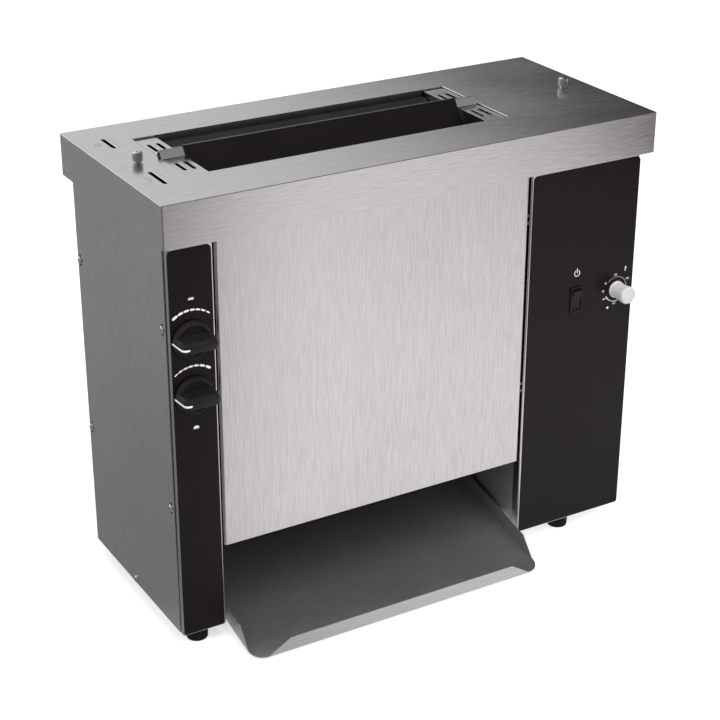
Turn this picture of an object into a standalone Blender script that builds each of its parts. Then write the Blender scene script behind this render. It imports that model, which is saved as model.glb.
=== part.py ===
"""Vertical contact toaster, built piece by piece in metres, +Z up, +Y to the back.

Two bun halves fall through the feed gaps, one on each side of a heated platen.
A belt on each side presses and carries them down, and they slide out on the tray.
The origin is the centre of the bounding box's bottom, on the plane of the feet.
"""
import math

import bmesh
import bpy
from mathutils import Matrix, Vector
from mathutils.geometry import tessellate_polygon

# Overall sizes
CAP_SKIRT = 0.0467
CAP_SHEET = 0.0015
CAP_CORNER = 0.0015
COLUMN_DROP = 0.4982
STAND_HEIGHT = 0.0193
TRAY_REACH = 0.050

# Fits shared by all pieces
FIT = 0.0003
OVERRUN = 0.002
PANEL_SHEET = 0.0012
BEND = 0.0024
CUT_CORNER = 0.002

# Housing, measured in from the cap's outline
SIDE_OVERHANG = 0.0069
FRONT_SETBACK = 0.0124
BACK_SETBACK = 0.0112
SIDE_EDGE_SETBACK = 0.0081
SIDE_TOP_FLANGE = 0.012
SIDE_BOTTOM_RISE = 0.0013
LEFT_COLUMN_WIDTH = 0.0523
CHAMBER_WIDTH = 0.3844
RIGHT_COLUMN_WIDTH = 0.1495
COLUMN_RETURN = 0.023
INNER_RETURN = 0.012
BACK_RETURN = 0.014
BASE_RETURN = 0.012
BASE_NOTCH_DEPTH = 0.046
BULKHEAD_FLANGE = 0.014

# Front panel of the chamber
FRONT_PANEL_LEFT_GAP = 0.0010
FRONT_PANEL_RIGHT_GAP = 0.0034
FRONT_PANEL_TOP_DROP = 0.020
FRONT_PANEL_DROP = 0.400
FRONT_PANEL_RETURN = 0.014
FRONT_PANEL_BEND = 0.003
TAB_HEIGHT = 0.003
TAB_DEPTH = 0.006
TAB_DROPS = (0.305, 0.3138, 0.100, 0.1088)

# Printed overlays
OVERLAY_SHEET = 0.0005
OVERLAY_TOP_DROP = 0.053
OVERLAY_BOTTOM_RISE = 0.0012
OVERLAY_MARGIN = 0.0002
OVERLAY_INNER_MARGIN = 0.0026
OVERLAY_TOP_CORNER = 0.005
OVERLAY_BOTTOM_CORNER = 0.0025

# Cap cut-out, feed opening and end plates
CUTOUT_HALF = 0.067
CUTOUT_LEFT_INSET = 0.0003
CUTOUT_RIGHT_OVERRUN = 0.0039
END_PLATE_SHOW = 0.0262
END_PLATE_HIDDEN = 0.010
END_PLATE_LAP = 0.006
END_PLATE_LIP = 0.008
VENT_SLOT_LENGTH = 0.0260
VENT_SLOT_WIDTH = 0.0042
VENT_SLOT_INSETS = (0.0075, 0.0180)
VENT_SLOT_FRONT_SHARE = 0.238
VENT_SLOT_BACK_SHARE = 0.745

# Indicators
INDICATOR_INSET = 0.0249
INDICATOR_SLOT_WIDTH = 0.0046
HEEL_SLOT_NEAR = 0.048
HEEL_SLOT_FAR = 0.082
CROWN_SLOT_NEAR = 0.039
CROWN_SLOT_FAR = 0.079
POINTER_WIDTH = 0.002
POINTER_END_GAP = 0.001
POINTER_TOP_DROP = 0.0030
ARM_SHEET = 0.002
ARM_WIDTH = 0.020
ARM_SHOULDER_DROP = 0.022
ARM_FOOT_BELOW = 0.049
ARM_FOOT_HEIGHT = 0.024
WINDOW_MARGIN = 0.002

# Thumbscrews
THUMBSCREW_INSET = 0.0266
THUMBSCREW_AHEAD = 0.0055
THUMB_HEAD_RADIUS = 0.0054
THUMB_HEAD_HEIGHT = 0.0088
THUMB_NECK_RADIUS = 0.0036
THUMB_NECK_HEIGHT = 0.0016
THUMB_DOME = 0.0008
THUMB_SHANK_RADIUS = 0.002
THUMB_SHANK_LENGTH = 0.012
THUMB_KNURLS = 14
THUMB_KNURL_DEPTH = 0.0003
CAP_TAB_WIDTH = 0.034
CAP_TAB_REACH = 0.039
WELD_NUT_RADIUS = 0.0048
WELD_NUT_HEIGHT = 0.0045

# Platen, heating elements and release sheet
PLATEN_DEPTH = 0.136
PLATEN_BACK_ROOM = 0.124
PLATEN_HALF = 0.026
PLATEN_WALL = 0.006
PLATEN_BOTTOM_DROP = 0.335
PLATEN_LEFT_GAP = 0.0030
PLATEN_RIGHT_GAP = 0.0045
WEDGE_SLOPE = math.radians(34.0)
SADDLE_RADIUS = 0.0030
SADDLE_SHEET = 0.0012
SADDLE_HEIGHT = 0.0082
PLATEN_TOP_GAP = 0.006
SHEET_THICKNESS = 0.0006
SHEET_CLEARANCE = 0.0004
SHEET_LEFT_GAP = 0.0006
SHEET_RIGHT_GAP = 0.0012
SHEET_BOTTOM_DROP = 0.338
BRACKET_SHEET = 0.002
BRACKET_TOP_DROP = 0.070
BRACKET_BOTTOM_DROP = 0.270
BRACKET_LAP = 0.014
ELEMENT_RADIUS = 0.0032
ELEMENT_TOP_DROP = 0.050
ELEMENT_BOTTOM_DROP = 0.296
ELEMENT_PASSES = 3
ELEMENT_STEPS = 6
ELEMENT_END_GAP = 0.030
ELEMENT_OUT = 0.012
ELEMENT_HOLE_RADIUS = 0.0045
SENSOR_RADIUS = 0.002
SENSOR_DROP = 0.283
SENSOR_LENGTH = 0.024
SENSOR_NUT_RADIUS = 0.006
SENSOR_NUT_LENGTH = 0.006
SENSOR_TAIL = 0.010

# Conveyors
DRIVE_OFFSET = 0.0525
DRIVE_DROP = 0.345
IDLER_OFFSET = 0.0635
IDLER_DROP = 0.024
ROLLER_RADIUS = 0.015
ROLLER_END_GAP = 0.0008
BELT_THICKNESS = 0.0015
BELT_END_GAP = 0.0012
SHAFT_RADIUS = 0.006
SWING = math.radians(5.0)
SIDE_PLATE_SHEET = 0.003
SIDE_PLATE_GAP = 0.0062
SIDE_PLATE_HALF = 0.012
CROSS_BAR = 0.008
CROSS_BAR_SHARES = (0.30, 0.70)
PRESSURE_PLATE_SHEET = 0.0015
PRESSURE_PLATE_END = 0.026
PRESSURE_PLATE_LIP = 0.005
IDLER_AXLE_PROUD = 0.001
DRIVE_LEFT_TAIL = 0.008
BUSH_RADIUS = 0.009
BUSH_FLANGE_RADIUS = 0.012
BUSH_FLANGE = 0.002
SPRING_WIRE = 0.001
SPRING_TURNS = 2
SPRING_PITCH = 0.0028
SPRING_STEPS = 8
SPRING_LEG = 0.026
STOP_PIN_RADIUS = 0.003

# Adjusters behind the two dials
HEEL_DIAL_DROP = 0.1513
DIAL_SPACING = 0.0617
DIAL_INSET = 0.0247
DIAL_RADIUS = 0.0215
DIAL_RIM = 0.003
DIAL_DISC = 0.007
DIAL_DOME_RADIUS = 0.0180
GRIP_LENGTH = 0.0412
GRIP_WIDTH = 0.0145
GRIP_NECK_LENGTH = 0.0408
GRIP_NECK_WIDTH = 0.0115
GRIP_NECK_HEIGHT = 0.0205
GRIP_TOP_LENGTH = 0.0350
GRIP_TOP_WIDTH = 0.0085
GRIP_HEIGHT = 0.0238
DIAL_TURN = math.radians(150.0)
DIAL_SHAFT_RADIUS = 0.004
DIAL_HOLE_RADIUS = 0.0050
CAM_RADIUS = 0.014
CAM_LEAD = math.radians(10.0)
CAM_STEPS = 24
CAM_TOE = math.radians(-220.0)
CAM_BORE = 0.002
CAM_BASE = 0.005
CAM_PEAK_GAP = 0.0024
CAM_PIN_RADIUS = 0.0015
CAM_PIN_HEIGHT = 0.010
CAM_HUB_RADIUS = 0.007
SUPPORT_AHEAD = 0.017
SUPPORT_SHEET = 0.0015
SUPPORT_WIDTH = 0.036
SUPPORT_MARGIN = 0.020
SHAFT_END_PROUD = 0.004

# Drive
GEAR_MODULE = 0.0035
GEAR_TEETH = 30
PINION_TEETH = 12
GEAR_WIDTH = 0.008
GEAR_HUB_RADIUS = 0.012
GEAR_HUB_LENGTH = 0.004
GEAR_WALL_GAP = 0.008
TOOTH_TIP_SHARE = 0.72
TOOTH_ROOT_SHARE = 1.05
TOOTH_TIP_WIDTH_SHARE = 0.11
TOOTH_ROOT_WIDTH_SHARE = 0.32
DRIVE_RIGHT_TAIL = 0.003
MOTOR_SHAFT_RADIUS = 0.005
GEARBOX_WIDTH = 0.036
GEARBOX_DEPTH = 0.066
GEARBOX_HEIGHT = 0.086
GEARBOX_BELOW = 0.024
MOTOR_RADIUS = 0.028
MOTOR_LENGTH = 0.058
MOTOR_GEAR_GAP = 0.004
POST_RADIUS = 0.004
POST_INSET = 0.007

# Tray and chute
TRAY_LEFT_GAP = 0.0033
TRAY_RIGHT_GAP = 0.0069
TRAY_SLOPE = 0.215
TRAY_SHEET = 0.0012
TRAY_FRONT_DROP = 0.5037
TRAY_BACK = 0.140
TRAY_FLANGE = 0.0188
TRAY_CHAMFER_TOP = 0.011
TRAY_CHAMFER_FOOT = 0.0305
TRAY_FOLD = 0.0472
TRAY_FOLD_INSET = 0.0159
TRAY_LIP_INSET = 0.0271
TRAY_LIP_HEIGHT = 0.0186
RAIL_FRONT = 0.062
RAIL_BACK = 0.138
RAIL_WIDTH = 0.022
RAIL_HEIGHT = 0.010
DEFLECTOR_TOP_DROP = 0.385
DEFLECTOR_FOOT_DROP = 0.4635
DEFLECTOR_FOOT_DEPTH = 0.146
DEFLECTOR_HOOK = 0.010

# Controls on the right column
SWITCH_INSET = 0.0814
SWITCH_DROP = 0.2108
BEZEL_WIDTH = 0.0172
BEZEL_HEIGHT = 0.0315
BEZEL_PROUD = 0.0012
BEZEL_RIM = 0.0024
SWITCH_DEPTH = 0.022
ROCKER_GAP = 0.0014
ROCKER_PIVOT_DEPTH = 0.004
ROCKER_TILT = math.radians(8.0)
ROCKER_BACK = 0.006
KNOB_INSET = 0.0251
KNOB_DROP = 0.2098
KNOB_RADIUS = 0.0090
KNOB_FLANGE_RADIUS = 0.0101
KNOB_FLANGE = 0.0024
KNOB_TAPER = 0.0011
KNOB_LENGTH = 0.0250
KNOB_NOSE_RADIUS = 0.0103
KNOB_NOSE_LENGTH = 0.0068
KNOB_ROUND = 0.0025
KNOB_ROUND_SHARE = 0.30
KNOB_SOCKET_RADIUS = 0.0065
SPINDLE_RADIUS = 0.003
SPINDLE_LENGTH = 0.014
POT_RADIUS = 0.0085
POT_LENGTH = 0.011
POT_BUSH_RADIUS = 0.0046

# Electrics in the right column
BOARD_DEPTH = 0.110
BOARD_HEIGHT = 0.090
BOARD_SHEET = 0.0016
BOARD_STANDOFF = 0.008
BOARD_FRONT = 0.040
BOARD_TOP_DROP = 0.065
TRANSFORMER_HEIGHT = 0.021
CAPACITOR_HEIGHT = 0.015
RELAY_HEIGHT = 0.018
STANDOFF_RADIUS = 0.003
VENT_RADIUS = 0.037
VENT_DROP = 0.130
VENT_SPAN_SHARE = 0.84
VENT_COUNT = 6
VENT_WIDTH = 0.0050
INLET_WIDTH = 0.048
INLET_HEIGHT = 0.028
INLET_FLANGE = 0.0022
INLET_BODY_WIDTH = 0.028
INLET_BODY_HEIGHT = 0.021
INLET_BODY_DEPTH = 0.024
INLET_WALL = 0.0022
INLET_CORNER = 0.005
INLET_PIN_WIDTH = 0.002
INLET_PIN_HEIGHT = 0.004
INLET_PIN_PITCH = 0.007
INLET_DROP = 0.440

# Feet and screw holes
FOOT_RADIUS = 0.0125
FOOT_FRONT = 0.034
FOOT_TAPER = 0.0010
SCREW_HOLE_RADIUS = 0.0023
SCREW_FRONT = 0.0273
SCREW_BACK_INSET = 0.018
SCREW_MIDDLE_AHEAD = 0.001
SCREW_DROPS = (0.141, 0.346)
SCREW_BOTTOM_RISE = 0.0055
BACK_SCREW_DROPS = (0.070, 0.430)

# Sizes and places worked out from the sizes above
CAP_WIDTH = 2 * SIDE_OVERHANG + LEFT_COLUMN_WIDTH + CHAMBER_WIDTH + RIGHT_COLUMN_WIDTH
CAP_DEPTH = PLATEN_DEPTH + PLATEN_BACK_ROOM
CUTOUT_FRONT = PLATEN_DEPTH - CUTOUT_HALF
CUTOUT_DEPTH = 2 * CUTOUT_HALF
HEEL_SLOT_FRONT = PLATEN_DEPTH + HEEL_SLOT_NEAR
HEEL_SLOT_BACK = PLATEN_DEPTH + HEEL_SLOT_FAR
CROWN_SLOT_FRONT = PLATEN_DEPTH - CROWN_SLOT_FAR
CROWN_SLOT_BACK = PLATEN_DEPTH - CROWN_SLOT_NEAR
THUMBSCREW_DEPTH = PLATEN_DEPTH - THUMBSCREW_AHEAD
SUPPORT_DEPTH = PLATEN_DEPTH - SUPPORT_AHEAD
TRAY_FOLD_HALF = (CHAMBER_WIDTH - TRAY_LEFT_GAP - TRAY_RIGHT_GAP) / 2 - TRAY_FOLD_INSET
TRAY_LIP_HALF = TRAY_FOLD_HALF - TRAY_LIP_INSET
FOOT_BACK = CAP_DEPTH - FOOT_FRONT
SCREW_BACK = CAP_DEPTH - SCREW_BACK_INSET
SCREW_MIDDLE = PLATEN_DEPTH - SCREW_MIDDLE_AHEAD
CAP_TOP = COLUMN_DROP + STAND_HEIGHT
CAP_FRONT = TRAY_REACH - (CAP_DEPTH + TRAY_REACH) / 2
SIDE_X = CAP_WIDTH / 2 - SIDE_OVERHANG
CHAMBER_LEFT = LEFT_COLUMN_WIDTH - SIDE_X
CHAMBER_RIGHT = CHAMBER_LEFT + CHAMBER_WIDTH
CHAMBER_MIDDLE = CHAMBER_LEFT + CHAMBER_WIDTH / 2
TRAY_LEFT = CHAMBER_LEFT + TRAY_LEFT_GAP
TRAY_RIGHT = CHAMBER_RIGHT - TRAY_RIGHT_GAP
INNER_X = SIDE_X - PANEL_SHEET - FIT
FRONT = CAP_FRONT + FRONT_SETBACK
COLUMN_FACE = FRONT + OVERLAY_SHEET + FIT
BACK = CAP_FRONT + CAP_DEPTH - BACK_SETBACK
BACK_FACE = BACK - PANEL_SHEET
BULKHEAD_FRONT = COLUMN_FACE + INNER_RETURN + FIT
BULKHEAD_BACK = BACK_FACE - PANEL_SHEET - FIT
COLUMN_BOTTOM = STAND_HEIGHT
BASE_BOTTOM = COLUMN_BOTTOM + SIDE_BOTTOM_RISE
BASE_TOP = BASE_BOTTOM + PANEL_SHEET
HOUSING_TOP = CAP_TOP - CAP_SHEET - FIT
PLATE_BOTTOM = HOUSING_TOP - PANEL_SHEET
CUTOUT_LEFT = CHAMBER_LEFT + CUTOUT_LEFT_INSET
CUTOUT_RIGHT = CHAMBER_RIGHT + CUTOUT_RIGHT_OVERRUN
FEED_LEFT = CUTOUT_LEFT + END_PLATE_SHOW
FEED_RIGHT = CUTOUT_RIGHT - END_PLATE_SHOW
PLATEN_Y = CAP_FRONT + PLATEN_DEPTH
PLATEN_LEFT = FEED_LEFT + PLATEN_LEFT_GAP
PLATEN_RIGHT = FEED_RIGHT - PLATEN_RIGHT_GAP
SHEET_LEFT = FEED_LEFT + SHEET_LEFT_GAP
SHEET_RIGHT = FEED_RIGHT - SHEET_RIGHT_GAP
BELT_LEFT = FEED_LEFT + BELT_END_GAP
BELT_RIGHT = FEED_RIGHT - BELT_END_GAP
ROLLER_LEFT = BELT_LEFT - ROLLER_END_GAP
ROLLER_RIGHT = BELT_RIGHT + ROLLER_END_GAP
SIDE_PLATE_LEFT = CHAMBER_LEFT + SIDE_PLATE_GAP
SIDE_PLATE_RIGHT = CHAMBER_RIGHT - SIDE_PLATE_GAP
GEAR_LEFT = CHAMBER_RIGHT + PANEL_SHEET + GEAR_WALL_GAP
GEAR_RIGHT = GEAR_LEFT + GEAR_WIDTH
GEARBOX_LEFT = GEAR_RIGHT + GEAR_HUB_LENGTH + MOTOR_GEAR_GAP
INDICATOR_X = INDICATOR_INSET - SIDE_X
DIAL_X = DIAL_INSET - SIDE_X
KNOB_X = SIDE_X - KNOB_INSET
SWITCH_X = SIDE_X - SWITCH_INSET
RIGHT_COLUMN_MIDDLE = (CHAMBER_RIGHT + SIDE_X) / 2
LEFT_COLUMN_MIDDLE = (CHAMBER_LEFT - SIDE_X) / 2
SPRING_RADIUS = (SHAFT_RADIUS + SPRING_WIRE + FIT) / math.cos(math.pi / SPRING_STEPS)
SPRING_START = SIDE_PLATE_RIGHT - SIDE_PLATE_SHEET - SPRING_WIRE - FIT
CROWN_DIAL_DROP = HEEL_DIAL_DROP + DIAL_SPACING
ARM_FOOT_DROP = CROWN_DIAL_DROP + ARM_FOOT_BELOW
GEAR_DISTANCE = GEAR_MODULE * (GEAR_TEETH + PINION_TEETH) / 2

# Finishes: colour, roughness and metallic value
BRUSHED = ((0.55, 0.54, 0.53), 0.32, 1.0)
GALVANISED = ((0.48, 0.49, 0.50), 0.45, 1.0)
POLISHED = ((0.75, 0.75, 0.76), 0.18, 1.0)
ALUMINIUM = ((0.62, 0.63, 0.64), 0.40, 1.0)
BRASS = ((0.72, 0.54, 0.25), 0.30, 1.0)
BLACK_PRINT = ((0.016, 0.014, 0.015), 0.35, 0.0)
BLACK_PLASTIC = ((0.018, 0.018, 0.019), 0.45, 0.0)
BLACK_RUBBER = ((0.012, 0.012, 0.012), 0.80, 0.0)
DARK_BELT = ((0.022, 0.019, 0.018), 0.38, 0.0)
RELEASE = ((0.020, 0.016, 0.016), 0.50, 0.0)
WHITE_METAL = ((0.80, 0.79, 0.80), 0.30, 0.6)
GREEN_BOARD = ((0.03, 0.16, 0.07), 0.50, 0.0)


def deep(distance):
    """Y of a place measured back from the cap's front face"""
    return CAP_FRONT + distance


def down(drop):
    """Z of a place measured down from the cap's top"""
    return CAP_TOP - drop


def clear_scene():
    for thing in list(bpy.data.objects):
        bpy.data.objects.remove(thing, do_unlink=True)
    for mesh in list(bpy.data.meshes):
        bpy.data.meshes.remove(mesh)
    for paint in list(bpy.data.materials):
        bpy.data.materials.remove(paint)


def dress(thing, finish):
    """Give a piece its own Principled material"""
    colour, roughness, metallic = finish
    paint = bpy.data.materials.new(thing.name)
    paint.use_nodes = True
    shader = paint.node_tree.nodes["Principled BSDF"]
    shader.inputs["Base Color"].default_value = (*colour, 1.0)
    shader.inputs["Roughness"].default_value = roughness
    shader.inputs["Metallic"].default_value = metallic
    paint.diffuse_color = (*colour, 1.0)
    thing.data.materials.append(paint)


def solid(name, vertices, faces, finish=None, smooth=False):
    """A mesh object with its faces turned outwards"""
    mesh = bpy.data.meshes.new(name)
    mesh.from_pydata([tuple(v) for v in vertices], [], faces)
    work = bmesh.new()
    work.from_mesh(mesh)
    bmesh.ops.recalc_face_normals(work, faces=work.faces)
    work.to_mesh(mesh)
    work.free()
    if smooth:
        mesh.shade_smooth()
        mesh.set_sharp_from_angle(angle=math.radians(35.0))
    thing = bpy.data.objects.new(name, mesh)
    bpy.context.scene.collection.objects.link(thing)
    if finish:
        dress(thing, finish)
    return thing


def gathered(name, things, finish, smooth=False):
    """Join separate solids into one object and remove the pieces"""
    vertices = []
    faces = []
    for thing in things:
        start = len(vertices)
        vertices += [thing.matrix_world @ v.co for v in thing.data.vertices]
        faces += [[start + i for i in face.vertices] for face in thing.data.polygons]
    for thing in things:
        bpy.data.objects.remove(thing, do_unlink=True)
    return solid(name, vertices, faces, finish, smooth)


def combine(thing, tool, operation):
    """Boolean of a piece with a hidden tool object"""
    step = thing.modifiers.new(tool.name, "BOOLEAN")
    step.operation = operation
    step.solver = "EXACT"
    step.object = tool
    tool.hide_render = True
    tool.display_type = "WIRE"
    return thing


def cut(thing, *tools):
    for tool in tools:
        combine(thing, tool, "DIFFERENCE")
    return thing


def fuse(thing, *tools):
    for tool in tools:
        combine(thing, tool, "UNION")
    return thing


def pivot(thing, place):
    """Move a piece's origin onto its joint without moving the piece"""
    thing.data.transform(Matrix.Translation(-Vector(place)))
    thing.location = place
    return thing


def place_on(axis, along, first, second):
    """A point from its place along an axis and its two other coordinates in X, Y, Z order"""
    if axis == "X":
        return (along, first, second)
    if axis == "Y":
        return (first, along, second)
    return (first, second, along)


def prism(name, rings, axis, low, high, finish=None, smooth=False):
    """Extrude an outline, with any holes after it, along an axis"""
    flat = [[Vector((*point, 0.0)) for point in ring] for ring in rings]
    points = [point for ring in rings for point in ring]
    count = len(points)
    vertices = [place_on(axis, low, *p) for p in points]
    vertices += [place_on(axis, high, *p) for p in points]
    faces = []
    for a, b, c in tessellate_polygon(flat):
        faces.append((a, b, c))
        faces.append((count + c, count + b, count + a))
    start = 0
    for ring in rings:
        size = len(ring)
        for i in range(size):
            j = (i + 1) % size
            faces.append((start + i, start + j, count + start + j, count + start + i))
        start += size
    return solid(name, vertices, faces, finish, smooth)


def box(name, low, high, finish=None):
    (x0, y0, z0), (x1, y1, z1) = low, high
    return prism(name, [rectangle(x0, y0, x1, y1)], "Z", z0, z1, finish)


def rectangle(left, bottom, right, top):
    return [(left, bottom), (right, bottom), (right, top), (left, top)]


def circle(centre, radius, steps, phase=0.0):
    turn = 2 * math.pi / steps
    return [
        (
            centre[0] + radius * math.cos(phase + turn * i),
            centre[1] + radius * math.sin(phase + turn * i),
        )
        for i in range(steps)
    ]


def rounded(points, radii, steps=3):
    """A closed outline with its corners turned into arcs"""
    result = []
    count = len(points)
    for i, (point, radius) in enumerate(zip(points, radii)):
        if radius <= 0:
            result.append(tuple(point))
            continue
        here = Vector(point)
        back = (Vector(points[i - 1]) - here).normalized()
        ahead = (Vector(points[(i + 1) % count]) - here).normalized()
        half = back.angle(ahead) / 2
        centre = here + (back + ahead).normalized() * (radius / math.sin(half))
        first = here + back * (radius / math.tan(half)) - centre
        last = here + ahead * (radius / math.tan(half)) - centre
        sweep = first.angle_signed(last)
        for k in range(steps + 1):
            spoke = first.copy()
            spoke.rotate(Matrix.Rotation(-sweep * k / steps, 2))
            result.append(tuple(centre + spoke))
    return result


def rounded_rectangle(left, bottom, right, top, radius, steps=3):
    return rounded(rectangle(left, bottom, right, top), [radius] * 4, steps)


def offset_path(path, distance):
    """An open path moved to its left, with mitred corners"""
    points = [Vector(p) for p in path]
    result = []
    for i, here in enumerate(points):
        normals = []
        if i > 0:
            step = (here - points[i - 1]).normalized()
            normals.append(Vector((-step.y, step.x)))
        if i + 1 < len(points):
            step = (points[i + 1] - here).normalized()
            normals.append(Vector((-step.y, step.x)))
        normal = sum(normals, Vector((0.0, 0.0))).normalized()
        result.append(tuple(here + normal * (distance / normal.dot(normals[0]))))
    return result


def sheet_outline(path, thickness, bend, steps=3):
    """The section of a bent sheet whose outer face follows a path, its metal on the left"""
    inner = offset_path(path, thickness)
    outer_radii = [0] + [bend] * (len(path) - 2) + [0]
    inner_bend = max(bend - abs(thickness), 0)
    inner_radii = [0] + [inner_bend] * (len(path) - 2) + [0]
    points = list(path) + inner[::-1]
    return rounded(points, outer_radii + inner_radii, steps)


def lofted(name, rings):
    """A solid through closed outlines of equal count, capped at both ends"""
    count = len(rings[0])
    vertices = [point for ring in rings for point in ring]
    last = len(vertices) - count
    faces = [tuple(range(count)), tuple(range(last + count - 1, last - 1, -1))]
    for start in range(0, last, count):
        for i in range(count):
            j = (i + 1) % count
            faces.append((start + i, start + j, start + count + j, start + count + i))
    return solid(name, vertices, faces)


def turned(name, profile, axis, centre, steps, finish=None, smooth=True):
    """Turn a profile of (radius, along) points about an axis.

    A profile that starts and ends at radius zero is solid; any other is a closed ring.
    """
    vertices = []
    rings = []
    for radius, along in profile:
        if radius == 0:
            rings.append([len(vertices)])
            vertices.append(place_on(axis, along, *centre))
            continue
        ring = circle(centre, radius, steps)
        rings.append(list(range(len(vertices), len(vertices) + steps)))
        vertices += [place_on(axis, along, *p) for p in ring]
    pairs = list(zip(rings, rings[1:]))
    if len(rings[0]) > 1:
        pairs.append((rings[-1], rings[0]))
    faces = []
    for first, second in pairs:
        for i in range(steps):
            j = (i + 1) % steps
            if len(first) == 1:
                faces.append((first[0], second[i], second[j]))
            elif len(second) == 1:
                faces.append((first[j], first[i], second[0]))
            else:
                faces.append((first[i], first[j], second[j], second[i]))
    return solid(name, vertices, faces, finish, smooth)


def drill(name, axis, centre, radius, low, high, steps=16):
    """A round cutter through a wall"""
    return prism(name, [circle(centre, radius, steps)], axis, low - OVERRUN, high + OVERRUN)


def tube(name, route, radius, finish):
    """A round bar along a route of points, with closed ends"""
    curve = bpy.data.curves.new(name, "CURVE")
    curve.dimensions = "3D"
    curve.bevel_depth = radius
    curve.bevel_resolution = 1
    curve.use_fill_caps = True
    line = curve.splines.new("POLY")
    line.points.add(len(route) - 1)
    for point, place in zip(line.points, route):
        point.co = (*place, 1.0)
    thing = bpy.data.objects.new(name, curve)
    bpy.context.scene.collection.objects.link(thing)
    dress(thing, finish)
    return thing


def settle(thing):
    """Turn a piece's modifiers into its mesh and remove their tools"""
    tools = [step.object for step in thing.modifiers]
    graph = bpy.context.evaluated_depsgraph_get()
    mesh = bpy.data.meshes.new_from_object(thing.evaluated_get(graph))
    thing.modifiers.clear()
    thing.data = mesh
    for tool in tools:
        bpy.data.objects.remove(tool, do_unlink=True)


def slope_to_tray(thing):
    """Shear a level piece so that it follows the tray's slope"""
    for vertex in thing.data.vertices:
        vertex.co.z += TRAY_SLOPE * (vertex.co.y - CAP_FRONT)
    return thing


# Housing


def make_top_cap():
    half = CAP_WIDTH / 2
    back = CAP_FRONT + CAP_DEPTH
    outline = rounded_rectangle(-half, CAP_FRONT, half, back, CAP_CORNER, 2)
    skirt_bottom = down(CAP_SKIRT)
    cap = prism("top_cap", [outline], "Z", skirt_bottom, CAP_TOP, BRUSHED)
    hollow = box(
        "cap_hollow",
        (CAP_SHEET - half, CAP_FRONT + CAP_SHEET, skirt_bottom - OVERRUN),
        (half - CAP_SHEET, back - CAP_SHEET, CAP_TOP - CAP_SHEET),
    )
    opening = rounded_rectangle(
        CUTOUT_LEFT, deep(CUTOUT_FRONT), CUTOUT_RIGHT, deep(CUTOUT_FRONT + CUTOUT_DEPTH), CUT_CORNER
    )
    low = CAP_TOP - CAP_SHEET - OVERRUN
    high = CAP_TOP + OVERRUN
    cuts = [hollow, prism("cap_opening", [opening], "Z", low, high)]
    slots = (("heel", HEEL_SLOT_FRONT, HEEL_SLOT_BACK), ("crown", CROWN_SLOT_FRONT, CROWN_SLOT_BACK))
    for side, front, rear in slots:
        reach = INDICATOR_SLOT_WIDTH / 2
        slot = rounded_rectangle(
            INDICATOR_X - reach, deep(front), INDICATOR_X + reach, deep(rear), reach - FIT
        )
        cuts.append(prism(side + "_slot", [slot], "Z", low, high))
    for side in (-1, 1):
        centre = (side * (SIDE_X - THUMBSCREW_INSET), deep(THUMBSCREW_DEPTH))
        hole = circle(centre, THUMB_SHANK_RADIUS + FIT, 12)
        cuts.append(prism("cap_hole", [hole], "Z", low, high))
    cut(cap, *cuts)


def knurled_ring(centre, radius):
    turn = math.pi / THUMB_KNURLS
    points = []
    for i in range(2 * THUMB_KNURLS):
        reach = radius - (i % 2) * THUMB_KNURL_DEPTH
        points.append((centre[0] + reach * math.cos(turn * i), centre[1] + reach * math.sin(turn * i)))
    return points


def make_thumbscrew(name, side):
    centre = (side * (SIDE_X - THUMBSCREW_INSET), deep(THUMBSCREW_DEPTH))
    seat = CAP_TOP + FIT
    neck_top = seat + THUMB_NECK_HEIGHT
    head_top = neck_top + THUMB_HEAD_HEIGHT
    head = prism(name, [knurled_ring(centre, THUMB_HEAD_RADIUS)], "Z", neck_top, head_top, POLISHED)
    core = turned(
        name + "_core",
        [
            (0, seat - THUMB_SHANK_LENGTH),
            (THUMB_SHANK_RADIUS, seat - THUMB_SHANK_LENGTH),
            (THUMB_SHANK_RADIUS, seat),
            (THUMB_NECK_RADIUS, seat),
            (THUMB_NECK_RADIUS, head_top + THUMB_DOME / 2),
            (THUMB_NECK_RADIUS - THUMB_DOME, head_top + THUMB_DOME),
            (0, head_top + THUMB_DOME),
        ],
        "Z",
        centre,
        12,
    )
    fuse(head, core)
    pivot(head, (*centre, seat))


def make_side_panel(name, side):
    """A flat side with a narrow top flange, and the ear that takes the thumbscrew"""
    outer = side * SIDE_X
    inner = side * (SIDE_X - PANEL_SHEET)
    front = FRONT + SIDE_EDGE_SETBACK
    holes = [
        circle((y, z), SCREW_HOLE_RADIUS, 8) for y, z in side_screw_places()
    ]
    outline = rectangle(front, BASE_BOTTOM, BACK, HOUSING_TOP)
    panel = prism(name, [outline] + holes, "X", min(outer, inner), max(outer, inner), BRUSHED)
    ear_front = deep(THUMBSCREW_DEPTH) - CAP_TAB_WIDTH / 2
    ear_back = ear_front + CAP_TAB_WIDTH
    flange = side * (SIDE_X - SIDE_TOP_FLANGE)
    reach = side * (SIDE_X - CAP_TAB_REACH)
    top = [
        (outer, front),
        (outer, BACK),
        (flange, BACK),
        (flange, ear_back),
        (reach, ear_back),
        (reach, ear_front),
        (flange, ear_front),
        (flange, front),
    ]
    centre = (side * (SIDE_X - THUMBSCREW_INSET), deep(THUMBSCREW_DEPTH))
    hole = circle(centre, THUMB_SHANK_RADIUS + FIT, 12)
    shelf = prism(name + "_top", [top, hole], "Z", HOUSING_TOP - PANEL_SHEET, HOUSING_TOP)
    nut_top = HOUSING_TOP - PANEL_SHEET / 2
    nut_rings = [circle(centre, WELD_NUT_RADIUS, 6), hole]
    nut = prism(name + "_nut", nut_rings, "Z", nut_top - WELD_NUT_HEIGHT, nut_top)
    fuse(panel, shelf, nut)


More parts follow.
